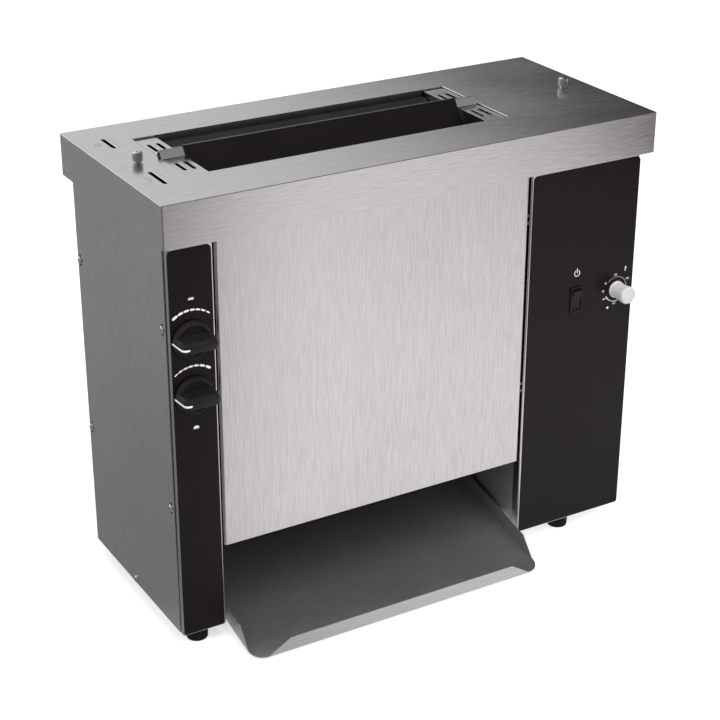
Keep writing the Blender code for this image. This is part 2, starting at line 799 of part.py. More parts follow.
def side_screw_places():
    places = [(deep(y), down(z)) for y in (SCREW_FRONT, SCREW_BACK) for z in SCREW_DROPS]
    places.append((deep(SCREW_MIDDLE), BASE_BOTTOM + SCREW_BOTTOM_RISE))
    return places


def make_back_panel():
    """Back cover with side returns, cooling vents and the inlet's cut-out"""
    half = INNER_X
    bottom = BASE_TOP + FIT
    path = [
        (-half, BACK_FACE - BACK_RETURN),
        (-half, BACK_FACE),
        (half, BACK_FACE),
        (half, BACK_FACE - BACK_RETURN),
    ]
    outline = sheet_outline(path, -PANEL_SHEET, BEND)
    panel = prism("back_panel", [outline], "Z", bottom, HOUSING_TOP - PANEL_SHEET - FIT, BRUSHED)
    low = BACK_FACE - PANEL_SHEET
    cuts = []
    centre_z = down(VENT_DROP)
    pitch = 2 * VENT_RADIUS * VENT_SPAN_SHARE / VENT_COUNT
    for i in range(VENT_COUNT):
        level = centre_z + pitch * (i - (VENT_COUNT - 1) / 2)
        reach = math.sqrt(VENT_RADIUS**2 - (level - centre_z) ** 2)
        slot = rounded_rectangle(
            RIGHT_COLUMN_MIDDLE - reach,
            level - VENT_WIDTH / 2,
            RIGHT_COLUMN_MIDDLE + reach,
            level + VENT_WIDTH / 2,
            VENT_WIDTH / 2 - FIT,
            1,
        )
        cuts.append(prism("vent", [slot], "Y", low - OVERRUN, BACK_FACE + OVERRUN))
    window = inlet_outline(INLET_BODY_WIDTH / 2 + FIT, INLET_BODY_HEIGHT / 2 + FIT)
    cuts.append(prism("inlet_window", [window], "Y", low - OVERRUN, BACK_FACE + OVERRUN))
    for x, z in back_screw_places():
        cuts.append(drill("back_hole", "Y", (x, z), SCREW_HOLE_RADIUS, low, BACK_FACE, 8))
    for side in (-1, 1):
        wall = side * half
        for drop in SCREW_DROPS:
            centre = (deep(SCREW_BACK), down(drop))
            inner = wall - side * PANEL_SHEET
            low_x, high_x = min(wall, inner), max(wall, inner)
            cuts.append(drill("return_hole", "X", centre, SCREW_HOLE_RADIUS, low_x, high_x, 8))
    cut(panel, *cuts)


def back_screw_places():
    reach = BULKHEAD_FLANGE / 2 + PANEL_SHEET
    spots = (CHAMBER_LEFT - reach, CHAMBER_RIGHT + reach)
    return [(x, down(z)) for x in spots for z in BACK_SCREW_DROPS]


def make_base_pan():
    """Floor with side returns, notched at the front where the tray comes out"""
    front = COLUMN_FACE + BEND + FIT
    outer_front = COLUMN_FACE + COLUMN_RETURN + FIT
    inner_front = COLUMN_FACE + INNER_RETURN + FIT
    notch = front + BASE_NOTCH_DEPTH
    lap = PANEL_SHEET + FIT
    outline = [
        (-INNER_X, BACK_FACE),
        (-INNER_X, outer_front),
        (lap - INNER_X, outer_front),
        (lap - INNER_X, front),
        (CHAMBER_LEFT - lap, front),
        (CHAMBER_LEFT - lap, inner_front),
        (CHAMBER_LEFT, inner_front),
        (CHAMBER_LEFT, notch),
        (CHAMBER_RIGHT, notch),
        (CHAMBER_RIGHT, inner_front),
        (CHAMBER_RIGHT + lap, inner_front),
        (CHAMBER_RIGHT + lap, front),
        (INNER_X - lap, front),
        (INNER_X - lap, outer_front),
        (INNER_X, outer_front),
        (INNER_X, BACK_FACE),
    ]
    pan = prism("base_pan", [outline], "Z", BASE_BOTTOM, BASE_TOP, GALVANISED)
    return_back = BACK_FACE - BACK_RETURN - FIT
    for side in (-1, 1):
        outer = side * INNER_X
        inner = side * (INNER_X - PANEL_SHEET)
        hole = circle((deep(SCREW_MIDDLE), BASE_BOTTOM + SCREW_BOTTOM_RISE), SCREW_HOLE_RADIUS, 8)
        shape = rectangle(outer_front, BASE_BOTTOM, return_back, BASE_BOTTOM + BASE_RETURN)
        wall = prism("pan_return", [shape, hole], "X", min(outer, inner), max(outer, inner))
        fuse(pan, wall)


def make_front_panel():
    """The chamber's front, with side returns and small tabs towards the columns"""
    left = CHAMBER_LEFT + FRONT_PANEL_LEFT_GAP
    right = CHAMBER_RIGHT - FRONT_PANEL_RIGHT_GAP
    rear = FRONT + FRONT_PANEL_RETURN
    path = [(left, rear), (left, FRONT), (right, FRONT), (right, rear)]
    outline = sheet_outline(path, PANEL_SHEET, FRONT_PANEL_BEND)
    top = down(FRONT_PANEL_TOP_DROP)
    bottom = down(FRONT_PANEL_DROP)
    panel = prism("front_panel", [outline], "Z", bottom, top, BRUSHED)
    tab_rear = rear - FIT
    tab_front = tab_rear - TAB_DEPTH
    for drop in TAB_DROPS:
        low = down(drop) - TAB_HEIGHT / 2
        high = low + TAB_HEIGHT
        fuse(
            panel,
            box(
                "left_tab",
                (CHAMBER_LEFT + FIT, tab_front, low),
                (left + PANEL_SHEET / 2, tab_rear, high),
            ),
            box(
                "right_tab",
                (right - PANEL_SHEET / 2, tab_front, low),
                (CHAMBER_RIGHT - FIT, tab_rear, high),
            ),
        )


def make_column_front(name, outer, inner, holes):
    """A folded column front: a deep return outside, a short one beside the chamber"""
    side = 1 if outer > inner else -1
    path = [
        (outer, COLUMN_FACE + COLUMN_RETURN),
        (outer, COLUMN_FACE),
        (inner, COLUMN_FACE),
        (inner, COLUMN_FACE + INNER_RETURN),
    ]
    outline = sheet_outline(path, -side * PANEL_SHEET, BEND)
    front = prism(name, [outline], "Z", COLUMN_BOTTOM, HOUSING_TOP - PANEL_SHEET - FIT, BRUSHED)
    cuts = list(holes)
    wall = outer - side * PANEL_SHEET
    for drop in SCREW_DROPS:
        centre = (deep(SCREW_FRONT), down(drop))
        low, high = min(outer, wall), max(outer, wall)
        cuts.append(drill("column_hole", "X", centre, SCREW_HOLE_RADIUS, low, high, 8))
    cut(front, *cuts)


def make_columns():
    rear = COLUMN_FACE + PANEL_SHEET
    left_holes = [
        drill("dial_hole", "Y", (DIAL_X, down(drop)), DIAL_HOLE_RADIUS, COLUMN_FACE, rear)
        for drop in (HEEL_DIAL_DROP, CROWN_DIAL_DROP)
    ]
    make_column_front("left_column_front", -INNER_X, CHAMBER_LEFT, left_holes)
    pot_hole = drill(
        "pot_hole", "Y", (KNOB_X, down(KNOB_DROP)), POT_BUSH_RADIUS + FIT, COLUMN_FACE, rear
    )
    switch_hole = prism(
        "switch_hole", [switch_ring(BEZEL_RIM / 2 - FIT)], "Y", COLUMN_FACE - OVERRUN, rear + OVERRUN
    )
    make_column_front("right_column_front", INNER_X, CHAMBER_RIGHT, [pot_hole, switch_hole])


def switch_ring(inset):
    """The switch's rectangle, drawn in by an inset"""
    width = BEZEL_WIDTH / 2 - inset
    height = BEZEL_HEIGHT / 2 - inset
    level = down(SWITCH_DROP)
    return rectangle(SWITCH_X - width, level - height, SWITCH_X + width, level + height)


def make_overlay(name, left, right, holes):
    bottom = COLUMN_BOTTOM + OVERLAY_BOTTOM_RISE
    top = down(OVERLAY_TOP_DROP)
    radii = [OVERLAY_BOTTOM_CORNER] * 2 + [OVERLAY_TOP_CORNER] * 2
    outline = rounded(rectangle(left, bottom, right, top), radii, 4)
    prism(name, [outline] + holes, "Y", FRONT, FRONT + OVERLAY_SHEET, BLACK_PRINT)


def make_overlays():
    dial_holes = [
        circle((DIAL_X, down(drop)), DIAL_HOLE_RADIUS, 16)
        for drop in (HEEL_DIAL_DROP, CROWN_DIAL_DROP)
    ]
    make_overlay(
        "left_control_overlay",
        OVERLAY_MARGIN - INNER_X,
        CHAMBER_LEFT - OVERLAY_INNER_MARGIN,
        dial_holes,
    )
    control_holes = [
        circle((KNOB_X, down(KNOB_DROP)), POT_BUSH_RADIUS + FIT, 16),
        switch_ring(BEZEL_RIM / 2 - FIT),
    ]
    make_overlay(
        "right_control_overlay",
        CHAMBER_RIGHT + OVERLAY_INNER_MARGIN,
        INNER_X - OVERLAY_MARGIN,
        control_holes,
    )


def make_bulkhead(name, wall, side, windows, extras):
    """A chamber wall whose rear flange turns out into its column"""
    outer = wall + side * PANEL_SHEET
    path = [
        (wall, BULKHEAD_FRONT),
        (wall, BULKHEAD_BACK),
        (wall + side * (BULKHEAD_FLANGE + PANEL_SHEET), BULKHEAD_BACK),
    ]
    outline = sheet_outline(path, -side * PANEL_SHEET, BEND)
    bulkhead = prism(name, [outline], "Z", BASE_TOP + FIT, PLATE_BOTTOM - FIT, GALVANISED)
    low, high = min(wall, outer), max(wall, outer)
    cuts = list(windows)
    for place in shaft_places():
        cuts.append(drill("bush_hole", "X", place, BUSH_RADIUS + FIT, low, high))
    flange_front = BULKHEAD_BACK - PANEL_SHEET
    for x, z in back_screw_places():
        if (x - wall) * side > 0:
            cuts.append(
                drill("flange_hole", "Y", (x, z), SCREW_HOLE_RADIUS, flange_front, BULKHEAD_BACK, 8)
            )
    fuse(bulkhead, *extras)
    cut(bulkhead, *cuts)


def shaft_places():
    return [
        (PLATEN_Y - DRIVE_OFFSET, down(DRIVE_DROP)),
        (PLATEN_Y + DRIVE_OFFSET, down(DRIVE_DROP)),
    ]


def make_bulkheads():
    """Left wall with the arms' windows and the adjusters' support; right wall with stop pins"""
    outer = CHAMBER_LEFT - PANEL_SHEET
    windows = []
    travel = SWING * (DRIVE_DROP - ARM_FOOT_DROP + ARM_FOOT_HEIGHT)
    for front, back in (
        (crown_arm_y() - travel, crown_arm_y() + ARM_SHEET),
        (heel_arm_y(), heel_arm_y() + ARM_SHEET + travel),
    ):
        shape = rounded_rectangle(
            front - WINDOW_MARGIN,
            down(ARM_FOOT_DROP) - WINDOW_MARGIN,
            back + WINDOW_MARGIN,
            down(ARM_FOOT_DROP) + ARM_FOOT_HEIGHT + WINDOW_MARGIN,
            CUT_CORNER,
        )
        windows.append(
            prism("arm_window", [shape], "X", outer - OVERRUN, CHAMBER_LEFT + OVERRUN)
        )
    support_rings = [
        rectangle(
            DIAL_X - SUPPORT_WIDTH / 2,
            down(CROWN_DIAL_DROP) - SUPPORT_MARGIN,
            CHAMBER_LEFT - PANEL_SHEET / 2,
            down(HEEL_DIAL_DROP) + SUPPORT_MARGIN,
        )
    ]
    for drop in (HEEL_DIAL_DROP, CROWN_DIAL_DROP):
        support_rings.append(circle((DIAL_X, down(drop)), DIAL_SHAFT_RADIUS + FIT, 16))
    rear = deep(SUPPORT_DEPTH) + SUPPORT_SHEET
    support = prism("adjuster_support", support_rings, "Y", deep(SUPPORT_DEPTH), rear)
    extras = [support, tray_rail(CHAMBER_LEFT, 1), platen_bracket(CHAMBER_LEFT, PLATEN_LEFT, 1)]
    make_bulkhead("left_bulkhead", CHAMBER_LEFT, -1, windows, extras)

    low = CHAMBER_RIGHT
    high = CHAMBER_RIGHT + PANEL_SHEET
    holes = []
    for sign in (-1, 1):
        place = (element_y(sign), down(ELEMENT_TOP_DROP))
        holes.append(drill("element_hole", "X", place, ELEMENT_HOLE_RADIUS, low, high, 12))
    holes.append(drill("sensor_hole", "X", sensor_place(), SENSOR_RADIUS + FIT, low, high, 12))
    extras = [tray_rail(CHAMBER_RIGHT, -1), platen_bracket(CHAMBER_RIGHT, PLATEN_RIGHT, -1)]
    for sign in (-1, 1):
        place = stop_pin_place(sign)
        reach = SPRING_START - SPRING_PITCH * (SPRING_TURNS + 1)
        extras.append(
            prism("stop_pin", [circle(place, STOP_PIN_RADIUS, 10)], "X", reach, high - PANEL_SHEET / 2)
        )
    make_bulkhead("right_bulkhead", CHAMBER_RIGHT, 1, holes, extras)


def end_plate_slots(edge, side):
    rings = []
    for share in (VENT_SLOT_FRONT_SHARE, VENT_SLOT_BACK_SHARE):
        middle = deep(CUTOUT_FRONT + CUTOUT_DEPTH * share)
        for inset in VENT_SLOT_INSETS:
            x = edge - side * inset
            reach = VENT_SLOT_WIDTH / 2
            rings.append(
                rounded_rectangle(
                    x - reach,
                    middle - VENT_SLOT_LENGTH / 2,
                    x + reach,
                    middle + VENT_SLOT_LENGTH / 2,
                    reach - FIT,
                    2,
                )
            )
    return rings


def make_end_plate(name, edge, far, side):
    """The slotted plate at one end of the feed opening, with a lip along the opening"""
    front = deep(CUTOUT_FRONT - END_PLATE_LAP)
    back = deep(CUTOUT_FRONT + CUTOUT_DEPTH + END_PLATE_LAP)
    rings = [rectangle(min(edge, far), front, max(edge, far), back)]
    rings += end_plate_slots(edge, side)
    plate = prism(name, rings, "Z", PLATE_BOTTOM, HOUSING_TOP, BRUSHED)
    inner = edge - side * PANEL_SHEET
    lip_low = PLATE_BOTTOM - END_PLATE_LIP
    for lip_front, lip_back in (
        (front, PLATEN_Y - PLATEN_HALF),
        (PLATEN_Y + PLATEN_HALF, back),
    ):
        lip = box(
            name + "_lip",
            (min(edge, inner), lip_front, lip_low),
            (max(edge, inner), lip_back, PLATE_BOTTOM + PANEL_SHEET / 2),
        )
        fuse(plate, lip)


def make_end_plates():
    make_end_plate("left_end_plate", FEED_LEFT, CUTOUT_LEFT - END_PLATE_HIDDEN, 1)
    make_end_plate("right_end_plate", FEED_RIGHT, CUTOUT_RIGHT + END_PLATE_HIDDEN, -1)


# Platen and release sheet


def saddle_centre_z():
    """Height of the centre of the ridge, whose feet stand on the end plates"""
    return HOUSING_TOP + FIT + SADDLE_HEIGHT - SADDLE_RADIUS


def ridge(radius, steps=5):
    """The front half of the rounded ridge, from its top to where the wedge starts"""
    centre = saddle_centre_z()
    points = []
    for i in range(steps):
        angle = math.pi / 2 + (math.pi / 2 - WEDGE_SLOPE) * i / (steps - 1)
        points.append((radius * math.cos(angle), centre + radius * math.sin(angle)))
    return points


def mirrored(front):
    """A whole section over the platen from its front half, listed from the top down"""
    points = [(PLATEN_Y + y, z) for y, z in front[::-1]]
    points += [(PLATEN_Y - y, z) for y, z in front[1:]]
    return points


def roof(radius):
    """Section of the saddle: over the ridge and down both slopes to the end plates"""
    front = ridge(radius)
    y, z = front[-1]
    foot = HOUSING_TOP + FIT
    front.append((y - (z - foot) * math.tan(WEDGE_SLOPE), foot))
    return mirrored(front)


def tent(radius, half, bottom):
    """Outline of the release sheet: over the ridge, down the wedge, then straight down"""
    front = ridge(radius)
    last = front[-1]
    front.append((-half, last[1] - (half + last[0]) / math.tan(WEDGE_SLOPE)))
    front.append((-half, bottom))
    return mirrored(front)


def make_release_sheet():
    outer_radius = SADDLE_RADIUS + SHEET_CLEARANCE + SHEET_THICKNESS
    outer_half = PLATEN_HALF + SHEET_CLEARANCE + SHEET_THICKNESS
    bottom = down(SHEET_BOTTOM_DROP)
    outer = tent(outer_radius, outer_half, bottom)
    inner = tent(outer_radius - SHEET_THICKNESS, outer_half - SHEET_THICKNESS, bottom)
    outline = outer + inner[::-1]
    prism("release_sheet", [outline], "X", SHEET_LEFT, SHEET_RIGHT, RELEASE)


def make_sheet_saddle():
    outline = roof(SADDLE_RADIUS) + roof(SADDLE_RADIUS - SADDLE_SHEET)[::-1]
    prism("sheet_saddle", [outline], "X", CUTOUT_LEFT + FIT, CUTOUT_RIGHT - FIT, BRUSHED)


def platen_half_outline(sign):
    """Section of one platen half: an upright plate whose top leans in under the saddle"""
    centre = saddle_centre_z()
    start_y = SADDLE_RADIUS * math.cos(WEDGE_SLOPE)
    start_z = centre + SADDLE_RADIUS * math.sin(WEDGE_SLOPE) - SHEET_CLEARANCE
    lean = math.tan(WEDGE_SLOPE)
    wall = PLATEN_WALL / math.cos(WEDGE_SLOPE)
    top = HOUSING_TOP - PLATEN_TOP_GAP
    top_y = start_y + (start_z - top) * lean
    inner_half = PLATEN_HALF - PLATEN_WALL
    bottom = down(PLATEN_BOTTOM_DROP)
    points = [
        (PLATEN_HALF, bottom),
        (PLATEN_HALF, start_z - (PLATEN_HALF - start_y) / lean),
        (top_y, top),
        (top_y - wall, top),
        (inner_half, start_z - (inner_half + wall - start_y) / lean),
        (inner_half, bottom),
    ]
    return [(PLATEN_Y + sign * y, z) for y, z in points]


def make_platen():
    for name, sign in (("platen_front_half", -1), ("platen_rear_half", 1)):
        prism(name, [platen_half_outline(sign)], "X", PLATEN_LEFT, PLATEN_RIGHT, ALUMINIUM)


def platen_bracket(wall, end, side):
    """A channel on a chamber wall that carries one end of the platen"""
    reach = PLATEN_HALF - PLATEN_WALL - FIT
    web = wall - side * PANEL_SHEET / 2
    tip = end + side * BRACKET_LAP
    path = [
        (tip, PLATEN_Y - reach),
        (web, PLATEN_Y - reach),
        (web, PLATEN_Y + reach),
        (tip, PLATEN_Y + reach),
    ]
    outline = sheet_outline(path, -side * BRACKET_SHEET, 0)
    return prism("platen_bracket", [outline], "Z", down(BRACKET_BOTTOM_DROP), down(BRACKET_TOP_DROP))


def element_y(sign):
    """Depth of a heating element, against the inside of its platen half"""
    return PLATEN_Y + sign * (PLATEN_HALF - PLATEN_WALL - FIT - ELEMENT_RADIUS)


def element_route():
    """Back and forth inside the front half, round the left end, and back inside the rear half"""
    top = down(ELEMENT_TOP_DROP)
    pitch = (ELEMENT_BOTTOM_DROP - ELEMENT_TOP_DROP) / (ELEMENT_PASSES - 1)
    bend = pitch / 2
    left = PLATEN_LEFT + ELEMENT_END_GAP + bend
    right = PLATEN_RIGHT - ELEMENT_END_GAP - bend
    out = CHAMBER_RIGHT + PANEL_SHEET + ELEMENT_OUT
    front = element_y(-1)
    route = [(out, front, top)]
    for i in range(ELEMENT_PASSES - 1):
        side = -1 if i % 2 == 0 else 1
        centre = left if side < 0 else right
        middle = top - pitch * i - bend
        for k in range(ELEMENT_STEPS + 1):
            angle = math.pi * k / ELEMENT_STEPS
            x = centre + side * bend * math.sin(angle)
            route.append((x, front, middle + bend * math.cos(angle)))
    half = PLATEN_Y - front
    loop = []
    for k in range(1, ELEMENT_STEPS):
        angle = math.pi * k / ELEMENT_STEPS
        x = PLATEN_LEFT + ELEMENT_END_GAP - half * math.sin(angle)
        loop.append((x, PLATEN_Y - half * math.cos(angle), route[-1][2]))
    start = PLATEN_LEFT + ELEMENT_END_GAP
    route.append((start, front, route[-1][2]))
    back = [(x, 2 * PLATEN_Y - y, z) for x, y, z in route[::-1]]
    return route + loop + back


def make_heating_element():
    tube("heating_element", element_route(), ELEMENT_RADIUS, GALVANISED)


def sensor_place():
    """The sensor's rod lies against the rear half, below the lowest pass"""
    return (PLATEN_Y + PLATEN_HALF - PLATEN_WALL - FIT - SENSOR_RADIUS, down(SENSOR_DROP))


def make_platen_sensor():
    wall = CHAMBER_RIGHT + PANEL_SHEET + FIT
    tip = PLATEN_RIGHT - SENSOR_LENGTH
    nut = wall + SENSOR_NUT_LENGTH
    end = nut + SENSOR_TAIL
    profile = [
        (0, tip),
        (SENSOR_RADIUS, tip),
        (SENSOR_RADIUS, wall),
        (SENSOR_NUT_RADIUS, wall),
        (SENSOR_NUT_RADIUS, nut),
        (SENSOR_RADIUS, nut),
        (SENSOR_RADIUS, end),
        (0, end),
    ]
    turned("platen_sensor", profile, "X", sensor_place(), 12, BRASS)


# Conveyors


def conveyor_frame(sign):
    """Drive axis, unit vector up to the idler and unit vector towards the platen"""
    drive = Vector((PLATEN_Y + sign * DRIVE_OFFSET, down(DRIVE_DROP)))
    idler = Vector((PLATEN_Y + sign * IDLER_OFFSET, down(IDLER_DROP)))
    up = (idler - drive).normalized()
    inward = Vector((up.y, -up.x)) * -sign
    return drive, idler, up, inward


def conveyor_point(sign, along, across):
    drive, _, up, inward = conveyor_frame(sign)
    return tuple(drive + up * along + inward * across)


def conveyor_length(sign):
    drive, idler, _, _ = conveyor_frame(sign)
    return (idler - drive).length


def loop_outline(sign, radius, steps=10):
    """A racetrack round both roller axes"""
    length = conveyor_length(sign)
    points = []
    for centre, start in ((length, 0.0), (0.0, math.pi)):
        for i in range(steps + 1):
            angle = start + math.pi * i / steps
            points.append(
                conveyor_point(
                    sign, centre + radius * math.sin(angle), radius * math.cos(angle)
                )
            )
    return points


def make_belt(name, sign):
    inner = ROLLER_RADIUS + FIT
    rings = [loop_outline(sign, inner + BELT_THICKNESS), loop_outline(sign, inner)]
    prism(name, rings, "X", BELT_LEFT, BELT_RIGHT, DARK_BELT, smooth=True)


def make_idler_roller(name, sign):
    centre = conveyor_point(sign, conveyor_length(sign), 0.0)
    left = SIDE_PLATE_LEFT - IDLER_AXLE_PROUD
    right = SIDE_PLATE_RIGHT + IDLER_AXLE_PROUD
    profile = [
        (0, left),
        (SHAFT_RADIUS, left),
        (SHAFT_RADIUS, ROLLER_LEFT),
        (ROLLER_RADIUS, ROLLER_LEFT),
        (ROLLER_RADIUS, ROLLER_RIGHT),
        (SHAFT_RADIUS, ROLLER_RIGHT),
        (SHAFT_RADIUS, right),
        (0, right),
    ]
    roller = turned(name, profile, "X", centre, 16, POLISHED)
    pivot(roller, (CHAMBER_MIDDLE, *centre))


def make_drive_roller(name, sign):
    centre = conveyor_point(sign, 0.0, 0.0)
    left = CHAMBER_LEFT - DRIVE_LEFT_TAIL
    right = GEAR_RIGHT + GEAR_HUB_LENGTH + DRIVE_RIGHT_TAIL
    profile = [
        (0, left),
        (SHAFT_RADIUS, left),
        (SHAFT_RADIUS, ROLLER_LEFT),
        (ROLLER_RADIUS, ROLLER_LEFT),
        (ROLLER_RADIUS, ROLLER_RIGHT),
        (SHAFT_RADIUS, ROLLER_RIGHT),
        (SHAFT_RADIUS, right),
        (0, right),
    ]
    roller = turned(name, profile, "X", centre, 16, POLISHED)
    pivot(roller, (CHAMBER_MIDDLE, *centre))


def make_carriage(name, sign):
    """Two side plates that hang on the drive shaft, tied by cross bars inside the belt"""
    length = conveyor_length(sign)
    outline = loop_outline(sign, SIDE_PLATE_HALF, 6)
    holes = [
        circle(conveyor_point(sign, along, 0.0), SHAFT_RADIUS + FIT, 12) for along in (0.0, length)
    ]
    rings = [outline] + holes
    left_inner = SIDE_PLATE_LEFT + SIDE_PLATE_SHEET
    right_inner = SIDE_PLATE_RIGHT - SIDE_PLATE_SHEET
    frame = prism(name, rings, "X", SIDE_PLATE_LEFT, left_inner, GALVANISED)
    far = prism(name + "_far", rings, "X", right_inner, SIDE_PLATE_RIGHT)
    fuse(frame, far)
    reach = CROSS_BAR / 2
    for share in CROSS_BAR_SHARES:
        along = length * share
        corners = [
            conveyor_point(sign, along - reach, -reach),
            conveyor_point(sign, along - reach, reach),
            conveyor_point(sign, along + reach, reach),
            conveyor_point(sign, along + reach, -reach),
        ]
        middle = SIDE_PLATE_SHEET / 2
        bar = prism(
            name + "_bar", [corners], "X", left_inner - middle, right_inner + middle
        )
        fuse(frame, bar)
    pivot(frame, (CHAMBER_MIDDLE, *conveyor_point(sign, 0.0, 0.0)))


def make_pressure_plate(name, sign):
    """A flanged plate that backs the inner run of the belt, seated on the cross bars"""
    length = conveyor_length(sign)
    face = ROLLER_RADIUS - FIT
    low = PRESSURE_PLATE_END
    high = length - PRESSURE_PLATE_END
    lip = PRESSURE_PLATE_LIP
    skin = PRESSURE_PLATE_SHEET
    rib = CROSS_BAR / 2 + FIT
    shape = [
        (low, face - lip),
        (low, face),
        (high, face),
        (high, face - lip),
        (high - skin, face - lip),
        (high - skin, face - skin),
    ]
    for share in CROSS_BAR_SHARES[::-1]:
        middle = length * share
        shape += [
            (middle + skin, face - skin),
            (middle + skin, rib),
            (middle - skin, rib),
            (middle - skin, face - skin),
        ]
    shape += [(low + skin, face - skin), (low + skin, face - lip)]
    outline = [conveyor_point(sign, along, across) for along, across in shape]
    prism(name, [outline], "X", BELT_LEFT, BELT_RIGHT, ALUMINIUM)


def stop_pin_place(sign):
    """The fixed pin that a pressure spring's lower leg reaches at the end of the swing"""
    drive, _, _, _ = conveyor_frame(sign)
    room = SPRING_LEG * math.sin(SWING) + FIT
    fall = SPRING_RADIUS + SPRING_WIRE + room + STOP_PIN_RADIUS
    return (drive.x + sign * SPRING_LEG, drive.y - fall)


def make_pressure_spring(name, sign):
    """Torsion spring round the drive shaft: one leg up the carriage, one over the stop pin"""
    drive, _, _, _ = conveyor_frame(sign)
    count = SPRING_STEPS * SPRING_TURNS + SPRING_STEPS // 4
    route = [(SPRING_START, drive.x - sign * SPRING_RADIUS, drive.y + SPRING_LEG)]
    for i in range(count + 1):
        angle = math.pi + 2 * math.pi * i / SPRING_STEPS
        route.append(
            (
                SPRING_START - SPRING_PITCH * i / SPRING_STEPS,
                drive.x + sign * SPRING_RADIUS * math.cos(angle),
                drive.y + SPRING_RADIUS * math.sin(angle),
            )
        )
    end = SPRING_LEG + STOP_PIN_RADIUS
    route.append((route[-1][0], drive.x + sign * end, drive.y - SPRING_RADIUS))
    tube(name, route, SPRING_WIRE, POLISHED)


def crown_arm_y():
    """Front face of the crown arm, whose pointer starts at the back end of its slot"""
    return deep(CROWN_SLOT_BACK) - POINTER_END_GAP - ARM_SHEET


def heel_arm_y():
    """Front face of the heel arm, whose pointer starts at the front end of its slot"""
    return deep(HEEL_SLOT_FRONT) + POINTER_END_GAP


def cam_rise(drop):
    """How far the follower moves over the whole swing"""
    return (DRIVE_DROP - drop + CAM_PIN_HEIGHT) * math.sin(SWING)


def make_arm(name, face, drop, sign, shafts):
    """A flat arm from the carriage to the indicator slot, with its cam follower pin"""
    left = DIAL_X - ARM_WIDTH / 2
    right = DIAL_X + ARM_WIDTH / 2
    foot = down(ARM_FOOT_DROP)
    knee = foot + ARM_FOOT_HEIGHT
    shoulder = down(ARM_SHOULDER_DROP)
    plate_x = SIDE_PLATE_LEFT - FIT
    reach = POINTER_WIDTH / 2
    tip = down(POINTER_TOP_DROP)
    outline = [
        (left, foot),
        (plate_x, foot),
        (plate_x, knee),
        (right, knee),
        (right, shoulder),
        (INDICATOR_X + reach, shoulder),
        (INDICATOR_X + reach, tip),
        (INDICATOR_X - reach, tip),
        (INDICATOR_X - reach, shoulder),
        (left, shoulder),
    ]
    rings = [outline]
    for shaft in shafts:
        lift = SWING * ARM_SHEET + OVERRUN
        rings.append(circle((DIAL_X, down(shaft)), DIAL_SHAFT_RADIUS + lift, 16))
    arm = prism(name, rings, "Y", face, face + ARM_SHEET, GALVANISED)
    carriage_y = conveyor_point(sign, DRIVE_DROP - ARM_FOOT_DROP + ARM_FOOT_HEIGHT / 2, 0.0)[0]
    pad = box(
        name + "_pad",
        (plate_x - ARM_SHEET, min(carriage_y, face + ARM_SHEET / 2), foot),
        (plate_x, max(carriage_y, face + ARM_SHEET / 2), knee),
    )
    length = cam_rise(drop) + CAM_PEAK_GAP
    pin_z = down(drop) + CAM_PIN_HEIGHT
    if sign < 0:
        low, high = face + ARM_SHEET / 2, face + ARM_SHEET + length
    else:
        low, high = face - length, face + ARM_SHEET / 2
    pin = prism(name + "_pin", [circle((DIAL_X, pin_z), CAM_PIN_RADIUS, 10)], "Y", low, high)
    fuse(arm, pad, pin)
    pivot(arm, (CHAMBER_MIDDLE, *conveyor_point(sign, 0.0, 0.0)))


def cam_level(clock, rise):
    """Height of the ramp at an angle measured back from the follower"""
    share = (-clock - CAM_LEAD) / DIAL_TURN
    return rise * min(max(share, 0.0), 1.0 - CAM_LEAD / DIAL_TURN)


def make_cam(name, centre, base, low_level, rise):
    """A ring whose end face climbs as a ramp and drops back in one step"""
    sign = 1 if low_level > base else -1
    vertices = []
    levels = []
    for i in range(CAM_STEPS):
        clock = CAM_TOE + 2 * math.pi * i / CAM_STEPS
        levels.append(low_level + sign * cam_level(clock, rise))
        for radius in (CAM_BORE, CAM_RADIUS):
            x = centre[0] + radius * math.sin(clock)
            z = centre[1] + radius * math.cos(clock)
            vertices.append((x, base, z))
            vertices.append((x, levels[-1], z))
    step_in = len(vertices)
    step_out = step_in + 1
    vertices.append((vertices[0][0], levels[-1], vertices[0][2]))
    vertices.append((vertices[2][0], levels[-1], vertices[2][2]))
    faces = [(step_in, 1, 3, step_out)]
    for i in range(CAM_STEPS):
        a = 4 * i
        b = 4 * ((i + 1) % CAM_STEPS)
        top_in, top_out = (b + 1, b + 3) if b else (step_in, step_out)
        faces.append((a + 1, a + 3, top_out, top_in))
        faces.append((a, b, b + 2, a + 2))
        if i == 0:
            faces.append((a, step_in, a + 1, top_in, b))
            faces.append((a + 2, b + 2, top_out, a + 3, step_out))
        else:
            faces.append((a, a + 1, top_in, b))
            faces.append((a + 2, b + 2, top_out, a + 3))
    return solid(name, vertices, faces, BRASS)


